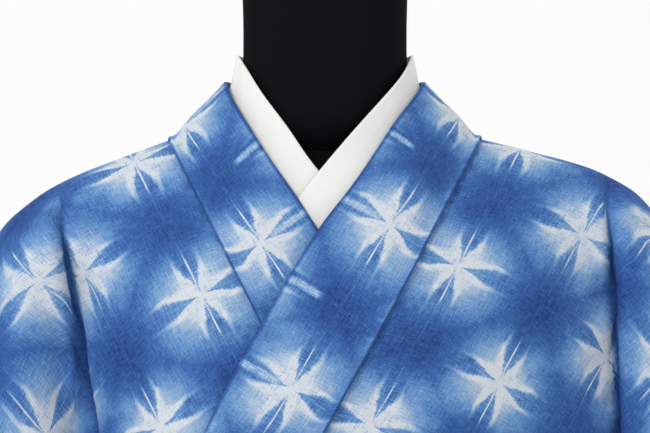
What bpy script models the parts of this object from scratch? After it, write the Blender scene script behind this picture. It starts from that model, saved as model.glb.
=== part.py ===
"""A cotton yukata robe, tied with its own belt, on a limbless dress form.

Metres, +Z up. The front faces -Y and the wearer's left is +X. Every cloth piece
is a grid of points on the middle of its wall, which wall() closes into a solid.
A place across the robe is written as a reach: the distance from the middle,
positive towards the side that the panel belongs to.
"""
import math
from collections import namedtuple

import bmesh
import bpy
from mathutils import Vector

# Cloth
WALL = 0.0015
BAND = 0.003
SEAM = 0.0003
SLEEVE_SEAM = 0.0008
LAP_GAP = 0.0007

# Heights
HEM_Z = 0.04
COLLAR_END_Z = 0.55
WAIST_Z = 0.985
OBI_BOTTOM = 0.885
OBI_TOP = 1.03
NECK_POINT_Z = 1.329
FRONT_DROP = NECK_POINT_Z - WAIST_Z

# Shoulders
SHOULDER_ROUND = 0.045
SHOULDER_BLEND = 0.085
NECK_POINT = 0.100

# Collar
COLLAR_LAP = 0.006
COLLAR_LIFT = WALL / 2 + LAP_GAP + BAND / 2
COLLAR_EDGE_LIFT = 0.0008
WAIST_EASE = 0.0012
LAP_LIFT = COLLAR_LIFT + 0.0007
BACK_LAP_LIFT = COLLAR_LIFT + 0.0015
BACK_EDGE_LIFT = COLLAR_LIFT + 0.0006
OVER_PANEL = 0.003
OVER_COLLAR = 0.0070
OVER_COLLAR_WAIST = 0.0085
TIP_WIDTH = 0.003

# Shares of the collar's width at which its own surface is read
COLLAR_SHARES = (1 / 3, 2 / 3, 1.0)

# White inner collar: how far it lies below the collar, and how far it stands above it
WHITE_DEPTH = {"left": 0.0028, "right": 0.0054}
WHITE_RISE = 0.040
WHITE_NECK_RISE = 0.016

# Grid
COLUMNS = 14
OVERLAP_COLUMNS = 4
SLEEVE_COLUMNS = 9
BACK_NECK_ROWS = 5

# How far below the neck point each row of a front panel meets its inner edge
ROW_DROPS = (0, 0.003, 0.011, 0.022, 0.036, 0.052, 0.07, 0.09, 0.11, 0.132,
             0.154, 0.176, 0.198, 0.2285, 0.26, 0.30)
TIP_ROW = 13
WHITE_LAST_ROW = 9
SKIRT_HEIGHTS = (WAIST_Z, 0.94, 0.885, 0.82, 0.75, 0.68, 0.615, COLLAR_END_Z,
                 0.46, 0.36, 0.26, 0.15, HEM_Z)
COLLAR_SKIRT_ROWS = 8

Ring = namedtuple("Ring", "z half_width front back")
SKIRT = (
    Ring(0.04, 0.190, 0.138, 0.140),
    Ring(0.45, 0.184, 0.134, 0.136),
    Ring(0.75, 0.180, 0.130, 0.132),
    Ring(0.88, 0.166, 0.118, 0.112),
    Ring(0.985, 0.150, 0.107, 0.092),
    Ring(1.06, 0.183, 0.118, 0.101),
)
TORSO = (
    Ring(0.800, 0.120, 0.080, 0.080),
    Ring(0.803, 0.145, 0.100, 0.098),
    Ring(0.850, 0.152, 0.106, 0.104),
    Ring(0.900, 0.146, 0.100, 0.095),
    Ring(0.970, 0.130, 0.090, 0.076),
    Ring(1.040, 0.136, 0.098, 0.081),
    Ring(1.120, 0.146, 0.102, 0.087),
    Ring(1.200, 0.149, 0.086, 0.086),
    Ring(1.240, 0.148, 0.068, 0.078),
    Ring(1.270, 0.147, 0.053, 0.068),
    Ring(1.290, 0.146, 0.045, 0.062),
    Ring(1.303, 0.142, 0.039, 0.057),
    Ring(1.314, 0.132, 0.0335, 0.055),
    Ring(1.3215, 0.112, 0.0300, 0.0535),
    Ring(1.328, 0.087, 0.037, 0.060),
    Ring(1.345, 0.0600, 0.0440, 0.0645),
    Ring(1.370, 0.0558, 0.0450, 0.065),
    Ring(1.400, 0.0556, 0.0455, 0.0655),
    Ring(1.4285, 0.0562, 0.0460, 0.066),
)

Depth = namedtuple("Depth", "z front back")
CHEST = (
    Depth(0.985, 0.107, 0.092),
    Depth(1.060, 0.114, 0.097),
    Depth(1.130, 0.113, 0.101),
    Depth(1.200, 0.102, 0.102),
    Depth(1.250, 0.088, 0.099),
    Depth(1.280, 0.075, 0.094),
    Depth(1.310, 0.057, 0.086),
    Depth(1.343, 0.035, 0.075),
    Depth(1.360, 0.012, 0.066),
    Depth(1.366, -0.012, 0.060),
)

# Where the chest turns back into the fold beside the sleeve
Turn = namedtuple("Turn", "z left right")
TURN = (
    Turn(0.985, 0.150, 0.150),
    Turn(1.015, 0.160, 0.159),
    Turn(1.043, 0.177, 0.173),
    Turn(1.080, 0.192, 0.172),
    Turn(1.130, 0.198, 0.166),
    Turn(1.200, 0.197, 0.169),
    Turn(1.280, 0.193, 0.178),
)
Lobe = namedtuple("Lobe", "centre half_width depth")
LOBES = {"left": Lobe(0.222, 0.050, 0.048), "right": Lobe(0.209, 0.054, 0.046)}
LOBE_BLEND = 0.016

Spot = namedtuple("Spot", "reach y z")
RIDGE = {
    "left": (
        Spot(NECK_POINT, 0.012, NECK_POINT_Z),
        Spot(0.1565, 0.012, 1.3150),
        Spot(0.1865, 0.012, 1.3050),
        Spot(0.2165, 0.011, 1.2860),
        Spot(0.2380, 0.008, 1.2500),
        Spot(0.2500, 0.004, 1.2150),
        Spot(0.2575, 0.000, 1.1870),
    ),
    "right": (
        Spot(NECK_POINT, 0.012, NECK_POINT_Z),
        Spot(0.1565, 0.012, 1.3080),
        Spot(0.1820, 0.012, 1.2965),
        Spot(0.1980, 0.011, 1.2860),
        Spot(0.2165, 0.010, 1.2700),
        Spot(0.2390, 0.006, 1.2350),
        Spot(0.2575, 0.000, 1.1870),
    ),
}
ARMHOLE = {
    "left": ((0.2575, 1.187), (0.253, 1.147), (0.242, 1.115), (0.222, 1.090),
             (0.196, 1.068), (0.170, 1.043), (0.155, 1.015), (0.150, 0.985)),
    "right": ((0.2575, 1.187), (0.252, 1.147), (0.239, 1.115), (0.216, 1.090),
              (0.190, 1.068), (0.167, 1.043), (0.154, 1.015), (0.150, 0.985)),
}

# The line on which the collar is sewn, as reach lost for each metre down
SEAM_SLOPE = {"left": 0.5445, "right": 0.522}
BACK_NECK = (
    Spot(NECK_POINT, 0.012, NECK_POINT_Z),
    Spot(0.085, 0.048, 1.322),
    Spot(0.048, 0.078, 1.309),
    Spot(0.00015, 0.088, 1.303),
)
BACK_COLLAR_TOP = (
    Spot(0.066, 0.012, 1.3655),
    Spot(0.064, 0.052, 1.366),
    Spot(0.044, 0.086, 1.362),
    Spot(0.0, 0.104, 1.358),
)
BACK_WHITE_TOP = (
    Spot(0.0590, 0.012, 1.385),
    Spot(0.058, 0.050, 1.385),
    Spot(0.040, 0.078, 1.381),
    Spot(0.0, 0.093, 1.377),
)
Edge = namedtuple("Edge", "z left right")
COLLAR_INNER = (
    Edge(0.985, -0.131, -0.131),
    Edge(1.060, -0.106, -0.106),
    Edge(1.1315, -0.0786, -0.0770),
    Edge(1.200, -0.0420, -0.0400),
    Edge(1.2625, -0.0047, 0.0033),
    Edge(1.2867, 0.0133, 0.0186),
    Edge(1.3133, 0.0313, 0.0375),
    Edge(1.3430, 0.0506, 0.0560),
    Edge(1.3600, 0.0640, 0.0655),
    Edge(1.3655, 0.0660, 0.0665),
)
WhiteEdge = namedtuple("WhiteEdge", "z left left_y right right_y")
WHITE_INNER = (
    WhiteEdge(1.200, -0.0820, -0.0975, -0.0800, -0.0945),
    WhiteEdge(1.250, -0.0460, -0.0835, -0.0420, -0.0805),
    WhiteEdge(1.287, -0.0186, -0.0690, -0.0160, -0.0655),
    WhiteEdge(1.3046, -0.0047, -0.0625, 0.0047, -0.0590),
    WhiteEdge(1.333, 0.0193, -0.0530, 0.0233, -0.0500),
    WhiteEdge(1.357, 0.0410, -0.0385, 0.0420, -0.0355),
    WhiteEdge(1.372, 0.0535, -0.0230, 0.0510, -0.0230),
    WhiteEdge(1.385, 0.0590, 0.0120, 0.0590, 0.0120),
)

# How many columns in from the centre the back neck's drop dies out
NECK_DIP_COLUMNS = 4.5

# Angles on the skirt, from the middle of the front towards the panel's own side
Wrap = namedtuple("Wrap", "z overlap_seam collar_seam")
WRAP = (
    Wrap(0.04, 2.0, -48.0),
    Wrap(0.55, -1.0, -45.0),
    Wrap(0.85, -8.0, -38.0),
    Wrap(0.985, -17.0, -35.3),
)
CENTRE_ANGLE = 0.05
SIDE_ANGLE = 89.9
COLLAR_ANGLE = 25.0

# Soft folds of the skirt, standing out from the ring
Fold = namedtuple("Fold", "angle width depth top")
FOLDS = (
    Fold(14, 8, 0.008, 0.80),
    Fold(33, 7, 0.010, 0.84),
    Fold(57, 9, 0.012, 0.86),
    Fold(80, 7, 0.008, 0.70),
    Fold(-20, 8, 0.007, 0.50),
    Fold(-38, 6, 0.005, 0.42),
    Fold(-80, 7, 0.010, 0.84),
    Fold(104, 8, 0.010, 0.82),
    Fold(127, 9, 0.013, 0.86),
    Fold(152, 8, 0.009, 0.78),
    Fold(-103, 8, 0.011, 0.84),
    Fold(-129, 8, 0.009, 0.80),
    Fold(-155, 9, 0.012, 0.86),
)

# Sleeve, as it hangs with no arm in it
SLEEVE_TOP = (Spot(0.2575, 0, 1.187), Spot(0.282, 0, 1.10), Spot(0.301, 0, 1.0),
              Spot(0.315, 0, 0.86))
FREE_EDGE = (Spot(0.189, 0.034, 0.95), Spot(0.197, 0.024, 0.84), Spot(0.204, 0.0009, 0.752))
CUFF_EDGE = (Spot(0.315, 0, 0.86), Spot(0.323, 0.020, 0.80), Spot(0.320, 0.017, 0.74),
             Spot(0.312, 0.0009, 0.695), Spot(0.296, 0.0009, 0.64), Spot(0.276, 0.0009, 0.60))
SLEEVE_BOTTOM = (Spot(0.204, 0.0009, 0.752), Spot(0.222, 0.0009, 0.685),
                 Spot(0.248, 0.0009, 0.632), Spot(0.276, 0.0009, 0.60))
SLEEVE_FREE_ROWS = 7
SLEEVE_BULGE = 0.014
SLEEVE_HALF_GAP = 0.0009
SLEEVE_FOLD_LEAN = 0.15
SleeveFold = namedtuple("SleeveFold", "place width depth")
SLEEVE_FOLDS = (SleeveFold(0.22, 0.10, 0.010), SleeveFold(0.55, 0.12, -0.007),
                SleeveFold(0.80, 0.09, 0.008))

# Belt
OBI_WALL = 0.003
OBI_ROWS = 5
OBI_COLUMNS = 48
ObiLift = namedtuple("ObiLift", "angle lift")
OBI_LIFT = (ObiLift(-180, 0.0038), ObiLift(-110, 0.0060), ObiLift(-75, 0.0090),
            ObiLift(-60, 0.0118), ObiLift(-30, 0.0116), ObiLift(0, 0.0105),
            ObiLift(30, 0.0130), ObiLift(62, 0.0132), ObiLift(85, 0.0090),
            ObiLift(110, 0.0065), ObiLift(180, 0.0038))
BOW_WALL = 0.002
BOW_Z = 0.977
BOW_BEHIND = 0.0339
BOW_REACH = 0.150
BOW_HALF_HEIGHT = 0.072
BOW_PINCH = 0.030
BOW_PINCH_DEPTH = 0.006
BOW_LOOP_DEPTH = 0.016
BOW_SPREAD = 0.09
BOW_DROOP = 0.045
BOW_SWEEP = 0.0145
BOW_ROWS = 5
BOW_COLUMNS = 40
KNOT_BEHIND = 0.0335
KNOT_HALF_WIDTH = 0.030
KNOT_HALF_DEPTH = 0.0195
KNOT_HALF_HEIGHT = 0.052
KNOT_SWELL = 0.004
KNOT_ROWS = 5
KNOT_COLUMNS = 20

# Form and stand
FORM_SEGMENTS = 36
Disc = namedtuple("Disc", "radius z")
NECK_CAP = (Disc(0.0560, 1.4288), Disc(0.0560, 1.4310), Disc(0.0535, 1.4345),
            Disc(0.0450, 1.4375), Disc(0.020, 1.4395))
CAP_SEGMENTS = 32
BASE_HEIGHT = 0.020
POLE = (Disc(0.0125, BASE_HEIGHT + SEAM), Disc(0.0125, TORSO[0].z - SEAM))
POLE_SEGMENTS = 20
BASE = (Disc(0.164, 0.0), Disc(0.165, 0.002), Disc(0.165, 0.009), Disc(0.161, 0.012),
        Disc(0.030, 0.018), Disc(0.024, BASE_HEIGHT))
BASE_SEGMENTS = 48
SIDES = {"left": 1, "right": -1}

COLOURS = {
    "indigo": ((0.041, 0.098, 0.300), 0.85, 0.0),
    "white": ((0.82, 0.82, 0.80), 0.80, 0.0),
    "deep_indigo": ((0.016, 0.026, 0.085), 0.75, 0.0),
    "black": ((0.008, 0.007, 0.010), 0.85, 0.0),
    "metal": ((0.020, 0.020, 0.022), 0.45, 0.0),
}


def lerp(start, end, share):
    return start + (end - start) * share


def smooth(low, high, value):
    share = min(1.0, max(0.0, (value - low) / (high - low)))
    return share * share * (3.0 - 2.0 * share)


def read(rows, column, value):
    """Read a column of a table at a value of its first column, without overshoot."""
    keys = [row[0] for row in rows]
    if value <= keys[0]:
        return getattr(rows[0], column)
    if value >= keys[-1]:
        return getattr(rows[-1], column)
    held = [getattr(row, column) for row in rows]
    slopes = [(held[i + 1] - held[i]) / (keys[i + 1] - keys[i]) for i in range(len(rows) - 1)]
    index = max(i for i in range(len(rows) - 1) if keys[i] <= value)

    def tangent(i):
        if i == 0:
            return slopes[0]
        if i == len(rows) - 1:
            return slopes[-1]
        before, after = slopes[i - 1], slopes[i]
        return 0.0 if before * after <= 0 else 2.0 * before * after / (before + after)

    step = keys[index + 1] - keys[index]
    t = (value - keys[index]) / step
    rise = (3.0 - 2.0 * t) * t * t
    bend = tangent(index) * t * (1 - t) * (1 - t) - tangent(index + 1) * t * t * (1 - t)
    return lerp(held[index], held[index + 1], rise) + bend * step


class Path:
    """A smooth curve through points, read by a share of its length."""

    STEPS = 10

    def __init__(self, points):
        points = [Vector(point) for point in points]
        ends = [2 * points[0] - points[1]] + points + [2 * points[-1] - points[-2]]
        self.points = []
        for a, b, c, d in zip(ends, ends[1:], ends[2:], ends[3:]):
            for step in range(self.STEPS):
                t = step / self.STEPS
                self.points.append(0.5 * (2 * b + (c - a) * t + (2 * a - 5 * b + 4 * c - d) * t ** 2
                                          + (3 * b - a - 3 * c + d) * t ** 3))
        self.points.append(points[-1])
        self.lengths = [0.0]
        for a, b in zip(self.points, self.points[1:]):
            self.lengths.append(self.lengths[-1] + (b - a).length)

    def at(self, share):
        goal = min(1.0, max(0.0, share)) * self.lengths[-1]
        index = max(i for i in range(len(self.lengths) - 1) if self.lengths[i] <= goal)
        span = self.lengths[index + 1] - self.lengths[index]
        return self.points[index].lerp(self.points[index + 1], (goal - self.lengths[index]) / span)


def coons(top, bottom, inner, outer, corners, s, t):
    """Point of a patch from its four edge points at s across and t down."""
    ruled = lerp(top, bottom, t) + lerp(inner, outer, s)
    return ruled - lerp(lerp(corners[0], corners[1], s), lerp(corners[2], corners[3], s), t)


def side_of(x):
    return "left" if x >= 0 else "right"


def face_depth(x, z, column):
    """Depth of the chest or the back behind a point seen from the front."""
    side = side_of(x)
    lobe = LOBES[side]
    soft = smooth(1.04, 1.13, z)
    across = min(1.0, abs(x) / read(TURN, side, z))
    body = read(CHEST, column, z) * (1.0 - across ** (2.0 + 0.4 * soft)) ** (0.5 + 0.08 * soft)
    share = (abs(x) - lobe.centre) / lobe.half_width
    present = smooth(1.0, 1.07, z)
    hanging = lobe.depth * max(0.0, 1.0 - share * share) * present
    return 0.5 * (body + hanging + math.hypot(body - hanging, LOBE_BLEND * present))


def seam_reach(side, z):
    """Reach of the panel edge under the collar."""
    return NECK_POINT - SEAM_SLOPE[side] * (NECK_POINT_Z - z)


def outer_lift(past_seam, collar_share, over_collar):
    """Lift of the outer front over the inner one. past_seam is 0 at the inner
    collar's seam and 1 at its free edge."""
    start = lerp(0.1, 1.12, collar_share)
    end = lerp(0.9, 1.9, collar_share)
    stack = OVER_PANEL + (over_collar - OVER_PANEL) * collar_share * smooth(-0.75, -0.32, past_seam)
    return stack * (1.0 - smooth(start, end, past_seam))


def chest_lift(side, x, z):
    if side == "right":
        return 0.0
    height = min(z, 1.32)
    edge = seam_reach("right", height)
    over_collar = lerp(OVER_COLLAR_WAIST, OVER_COLLAR, smooth(1.05, 1.12, z))
    lift = outer_lift((edge + x) / (edge - read(COLLAR_INNER, "right", height)), 1.0, over_collar)
    turn = read(TURN, side_of(x), z)
    across = min(0.9, abs(x) / turn)
    ahead = math.sqrt(1.0 - across * across) / read(CHEST, "front", z)
    return lift * math.hypot(across / turn, ahead) / ahead


def skirt_lift(side, angle, z):
    if side == "right":
        return 0.0
    past_seam = (angle + read(WRAP, "collar_seam", z)) / COLLAR_ANGLE
    return outer_lift(past_seam, smooth(0.48, 0.54, z), OVER_COLLAR_WAIST)


def fold_height(angle, z):
    total = 0.0
    for fold in FOLDS:
        apart = (angle - fold.angle + 180.0) % 360.0 - 180.0
        total += fold.depth * math.exp(-(apart / fold.width) ** 2) * (1.0 - smooth(HEM_Z, fold.top, z))
    return total


def ring_point(rows, angle, z, lift=0.0):
    """Point on a ring of a table, moved out by lift. The angle is 0 in front."""
    half_width = read(rows, "half_width", z)
    turn = math.radians(angle)
    depth = read(rows, "front" if math.cos(turn) > 0 else "back", z)
    x = half_width * math.sin(turn)
    y = -depth * math.cos(turn)
    out = Vector((x / half_width ** 2, y / depth ** 2, 0)).normalized()
    return Vector((x, y, z)) + out * lift


def torso_ring(row, segments):
    """Ellipse of the dress form, which may lie off the middle."""
    centre = (row.back - row.front) / 2
    depth = (row.back + row.front) / 2
    turns = [2 * math.pi * j / segments for j in range(segments)]
    return [Vector((row.half_width * math.sin(turn), centre - depth * math.cos(turn), row.z))
            for turn in turns]


def chest_point(side, reach, z, ridge_y=0.0, drop=1.0, face=-1, lifted=True):
    """Point of a front (face -1) or a back (face 1) panel at a reach and a height."""
    x = SIDES[side] * reach
    depth = face_depth(x, z, "front" if face < 0 else "back")
    if face < 0 and lifted:
        depth += chest_lift(side, x, z)
    below = min(drop, SHOULDER_ROUND)
    turned = math.sqrt(max(0.0, SHOULDER_ROUND ** 2 - (SHOULDER_ROUND - below) ** 2))
    blend = smooth(0.0, SHOULDER_BLEND, drop)
    return Vector((x, lerp(ridge_y + face * turned, face * depth, blend), z))


def front_inner(side, drop):
    """Inner edge of a front panel: along the collar down to the overlap, then its seam."""
    z = NECK_POINT_Z - drop
    tip_z = NECK_POINT_Z - ROW_DROPS[TIP_ROW]
    if z >= tip_z:
        share = drop / ROW_DROPS[TIP_ROW]
        return Vector((seam_reach(side, z) + TIP_WIDTH * smooth(0.9, 1.0, share), z))
    start = seam_reach(side, tip_z) + TIP_WIDTH
    end = read(TURN, side, WAIST_Z) * math.sin(math.radians(read(WRAP, "overlap_seam", WAIST_Z)))
    return Vector((lerp(start, end, (tip_z - z) / (tip_z - WAIST_Z)), z))


def upper_half(side, face):
    """Rows of a body panel from the shoulder to the waist, in front or behind."""
    ridge = Path(RIDGE[side])
    armhole = Path(ARMHOLE[side])
    neck = Path(BACK_NECK)
    waist = read(TURN, side, WAIST_Z)
    seam_angle = read(WRAP, "overlap_seam", WAIST_Z) if face < 0 else CENTRE_ANGLE
    rows = []
    for number, drop in enumerate(ROW_DROPS):
        t = drop / FRONT_DROP
        set_y = None
        if face < 0:
            inner = front_inner(side, drop)
        elif number <= BACK_NECK_ROWS:
            spot = neck.at(number / BACK_NECK_ROWS)
            inner = Vector((spot.x, spot.z))
            set_y = spot.y
        else:
            neck_drop = ROW_DROPS[BACK_NECK_ROWS]
            share = (drop - neck_drop) / (FRONT_DROP - neck_drop)
            inner = Vector((SEAM / 2, lerp(BACK_NECK[-1].z, WAIST_Z, share)))
            settled = smooth(0.0, 0.09, BACK_NECK[-1].z - inner.y)
            set_y = lerp(BACK_NECK[-1].y, face_depth(inner.x, inner.y, "back"), settled)
        outer = armhole.at(t)
        top_ends = (Vector(RIDGE[side][0]).xz, Vector(RIDGE[side][-1]).xz)
        low_ends = [Vector((waist * math.sin(math.radians(angle)), WAIST_Z))
                    for angle in (seam_angle, SIDE_ANGLE)]
        row = []
        for column in range(COLUMNS + 1):
            s = column / COLUMNS
            top = ridge.at(s)
            angle = lerp(seam_angle, SIDE_ANGLE, s)
            bottom = Vector((waist * math.sin(math.radians(angle)), WAIST_Z))
            place = coons(top.xz, bottom, inner, outer, (*top_ends, *low_ends), s, t)
            point = chest_point(side, place.x, place.y, top.y, top.z - place.y, face)
            row.append(point)
        if set_y is not None:
            shift = set_y - row[0].y
            for column, point in enumerate(row):
                point.y += shift * math.exp(-((column / NECK_DIP_COLUMNS) ** 2))
        rows.append(row)
    return rows


def skirt_row(side, face, z):
    """One row of a body panel below the waist."""
    if face < 0:
        start, end = read(WRAP, "overlap_seam", z), SIDE_ANGLE
    else:
        start, end = 180.0 - CENTRE_ANGLE, 180.0 - SIDE_ANGLE
    row = []
    for column in range(COLUMNS + 1):
        angle = lerp(start, end, column / COLUMNS)
        lift = skirt_lift(side, angle, z) if face < 0 else 0.0
        hidden = side == "right" and face < 0
        fold = fold_height(SIDES[side] * angle, z)
        if hidden:
            fold *= smooth(66.0, 76.0, angle)
        row.append(ring_point(SKIRT, SIDES[side] * angle, z, lift + fold))
    return row


def body_rows(side):
    """All rows of a body panel: front hem, shoulder, back hem."""
    front = upper_half(side, -1) + [skirt_row(side, -1, z) for z in SKIRT_HEIGHTS]
    back = upper_half(side, 1) + [skirt_row(side, 1, z) for z in SKIRT_HEIGHTS]
    return front, back


def overlap_rows(side, front):
    """Overlap panel between the collar and the body front, from its tip to the hem."""
    rows = []
    for number in range(TIP_ROW, len(front)):
        seam = front[number][0]
        towards = (front[number][1] - seam).normalized()
        start = seam - towards * SEAM
        row = []
        for column in range(OVERLAP_COLUMNS + 1):
            s = 1 - column / OVERLAP_COLUMNS
            if number < len(ROW_DROPS):
                reach = lerp(SIDES[side] * start.x, seam_reach(side, seam.z), s)
                row.append(chest_point(side, reach, seam.z))
            else:
                z = SKIRT_HEIGHTS[number - len(ROW_DROPS)]
                angle = lerp(read(WRAP, "overlap_seam", z), read(WRAP, "collar_seam", z), s)
                fold = fold_height(angle, z) if side == "left" else 0.0
                row.append(ring_point(SKIRT, SIDES[side] * angle, z,
                                      skirt_lift(side, angle, z) + fold))
        row[-1] = start
        rows.append(row)
    return rows


def walk(row, distance):
    """Point at a distance along a row of points, with the place it falls in."""
    for index, (a, b) in enumerate(zip(row, row[1:])):
        length = (b - a).length
        if distance <= length:
            return a.lerp(b, distance / length), index
        distance -= length
    return row[-1], len(row) - 1


def collar_bases(side, number):
    """Points of the collar's own surface at one row, from its seam to its free edge,
    and the lift of the layers below each."""
    points = []
    lifts = []
    if number < len(ROW_DROPS):
        z = NECK_POINT_Z - ROW_DROPS[number]
        seam = chest_point(side, seam_reach(side, z), z, RIDGE[side][0].y,
                           NECK_POINT_Z - z, lifted=False)
        inner_z = z + 0.0315 * smooth(0.975, 1.08, z) + 0.005 * smooth(1.27, NECK_POINT_Z, z)
        inner = chest_point(side, read(COLLAR_INNER, side, inner_z), inner_z, lifted=False)
        flat = 1.0 - smooth(1.25, 1.31, z)
        for share in COLLAR_SHARES:
            ruled = seam.lerp(inner, share)
            reach = SIDES[side] * ruled.x
            lying = chest_point(side, reach, ruled.z, lifted=False)
            points.append(ruled.lerp(lying, flat))
            lifts.append(chest_lift(side, ruled.x, ruled.z))
        return points, lifts
    z = SKIRT_HEIGHTS[number - len(ROW_DROPS)]
    start = read(WRAP, "collar_seam", z)
    for share in COLLAR_SHARES:
        angle = start - COLLAR_ANGLE * share
        points.append(ring_point(SKIRT, SIDES[side] * angle, z))
        lifts.append(skirt_lift(side, angle, z))
    return points, lifts


def back_collar_bases(side, place):
    """The same, round the back of the neck."""
    seam = Path(BACK_NECK).at(place)
    top = Path(BACK_COLLAR_TOP).at(place)
    points = [seam.lerp(top, share) for share in COLLAR_SHARES]
    for point in points:
        point.x *= SIDES[side]
    return points, [0.0, 0.0, 0.0]


def white_top(side, number):
    """Free edge of the white collar beside a row of the front."""
    z = NECK_POINT_Z - ROW_DROPS[number]
    top_z = z + WHITE_RISE + WHITE_NECK_RISE * smooth(1.28, NECK_POINT_Z, z)
    reach = read(WHITE_INNER, side, top_z)
    return Vector((SIDES[side] * reach, read(WHITE_INNER, side + "_y", top_z), top_z))


def back_white_top(side, share):
    spot = Path(BACK_WHITE_TOP).at(share)
    return Vector((SIDES[side] * spot.x, spot.y, spot.z))


def grid_normals(grid, closed=False):
    """Normals at the points of a grid, away from its right-hand side."""
    last_row = len(grid) - 1
    last = len(grid[0]) - 1
    normals = []
    for i, row in enumerate(grid):
        line = []
        for j in range(len(row)):
            down = grid[min(i + 1, last_row)][j] - grid[max(i - 1, 0)][j]
            if closed:
                across = row[(j + 1) % len(row)] - row[j - 1]
            else:
                across = row[min(j + 1, last)] - row[max(j - 1, 0)]
            line.append(across.cross(down).normalized())
        normals.append(line)
    return normals


def new_material(name):
    colour, roughness, metallic = COLOURS[name]
    material = bpy.data.materials.new(name)
    material.use_nodes = True
    shader = material.node_tree.nodes["Principled BSDF"]
    shader.inputs["Base Color"].default_value = (*colour, 1.0)
    shader.inputs["Roughness"].default_value = roughness
    shader.inputs["Metallic"].default_value = metallic
    return material


def new_object(name, mesh_builder, material):
    """Object with a closed mesh whose faces point outward."""
    mesh = bpy.data.meshes.new(name)
    work = bmesh.new()
    mesh_builder(work)
    bmesh.ops.recalc_face_normals(work, faces=work.faces)
    work.to_mesh(mesh)
    work.free()
    mesh.shade_smooth()
    mesh.set_sharp_from_angle(angle=math.radians(40))
    mesh.materials.append(new_material(material))
    piece = bpy.data.objects.new(name, mesh)
    bpy.context.scene.collection.objects.link(piece)
    return piece


def wall(name, grid, material, thickness=WALL, normals=None, closed=False):
    """Solid wall whose middle passes through a grid of points."""
    normals = normals or grid_normals(grid, closed)

    def build(work):
        skins = []
        for way in (0.5, -0.5):
            skins.append([[work.verts.new(point + normal * thickness * way)
                           for point, normal in zip(row, line)]
                          for row, line in zip(grid, normals)])
        front, back = skins
        rows = len(grid)
        columns = len(grid[0])
        spans = columns if closed else columns - 1
        for i in range(rows - 1):
            for j in range(spans):
                k = (j + 1) % columns
                work.faces.new((front[i][j], front[i][k], front[i + 1][k], front[i + 1][j]))
                work.faces.new((back[i][j], back[i + 1][j], back[i + 1][k], back[i][k]))
        for i in (0, rows - 1):
            for j in range(spans):
                k = (j + 1) % columns
                work.faces.new((front[i][j], back[i][j], back[i][k], front[i][k]))
        if not closed:
            for j in (0, columns - 1):
                for i in range(rows - 1):
                    work.faces.new((front[i][j], front[i + 1][j], back[i + 1][j], back[i][j]))

    return new_object(name, build, material)


def lathe(name, rings, material, segments):
    """Closed solid through rings of points, capped flat at both ends."""

    def build(work):
        loops = [[work.verts.new(point) for point in ring] for ring in rings]
        for low, high in zip(loops, loops[1:]):
            for j in range(segments):
                k = (j + 1) % segments
                work.faces.new((low[j], low[k], high[k], high[j]))
        work.faces.new(loops[0][::-1])
        work.faces.new(loops[-1])

    return new_object(name, build, material)


def round_ring(radius, z, segments, centre_y=0.0):
    return [Vector((radius * math.sin(2 * math.pi * j / segments),
                    centre_y - radius * math.cos(2 * math.pi * j / segments), z))
            for j in range(segments)]


def make_bodies():
    """Both body panels. Returns the rows and normals that other pieces need."""
    made = {}
    for side in SIDES:
        front, back = body_rows(side)
        grid = front[::-1] + back[1:]
        normals = grid_normals(grid)
        if side == "right":
            normals = [[-normal for normal in line] for line in normals]
        front_normals = normals[:len(front)][::-1]
        back_normals = normals[len(front) - 1:]
        for ahead, behind in zip(front_normals[len(ROW_DROPS):], back_normals[len(ROW_DROPS):]):
            shared = (ahead[-1] + behind[-1]).normalized()
            ahead[-1] = shared
            behind[-1] = shared
        for line in back_normals[BACK_NECK_ROWS:]:
            line[0] = Vector((0, *line[0].yz)).normalized()
        wall("body_" + side, grid, "indigo", normals=normals)
        made[side] = (front, back, front_normals, back_normals)
    return made


def make_overlaps(bodies):
    made = {}
    for side in SIDES:
        front, _, front_normals, _ = bodies[side]
        rows = overlap_rows(side, front)
        normals = grid_normals(rows)
        if side == "left":
            normals = [[-normal for normal in line] for line in normals]
        for offset, line in enumerate(normals):
            line[-1] = front_normals[TIP_ROW + offset][0]
        wall("overlap_" + side, rows, "indigo", normals=normals)
        made[side] = (rows, normals)
    return made


def sewn_start(side, number, bodies, overlaps):
    """The two collar points over the panel: at its lap and at the panel's edge."""
    front, _, front_normals, _ = bodies[side]
    row = list(front[number])
    lines = list(front_normals[number])
    if number >= TIP_ROW:
        rows, normals = overlaps[side]
        row = rows[number - TIP_ROW] + row[1:]
        lines = normals[number - TIP_ROW] + lines[1:]
    lap, index = walk(row, COLLAR_LAP)
    return (lap + lines[index] * LAP_LIFT, row[0] + lines[0] * COLLAR_LIFT)


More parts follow.
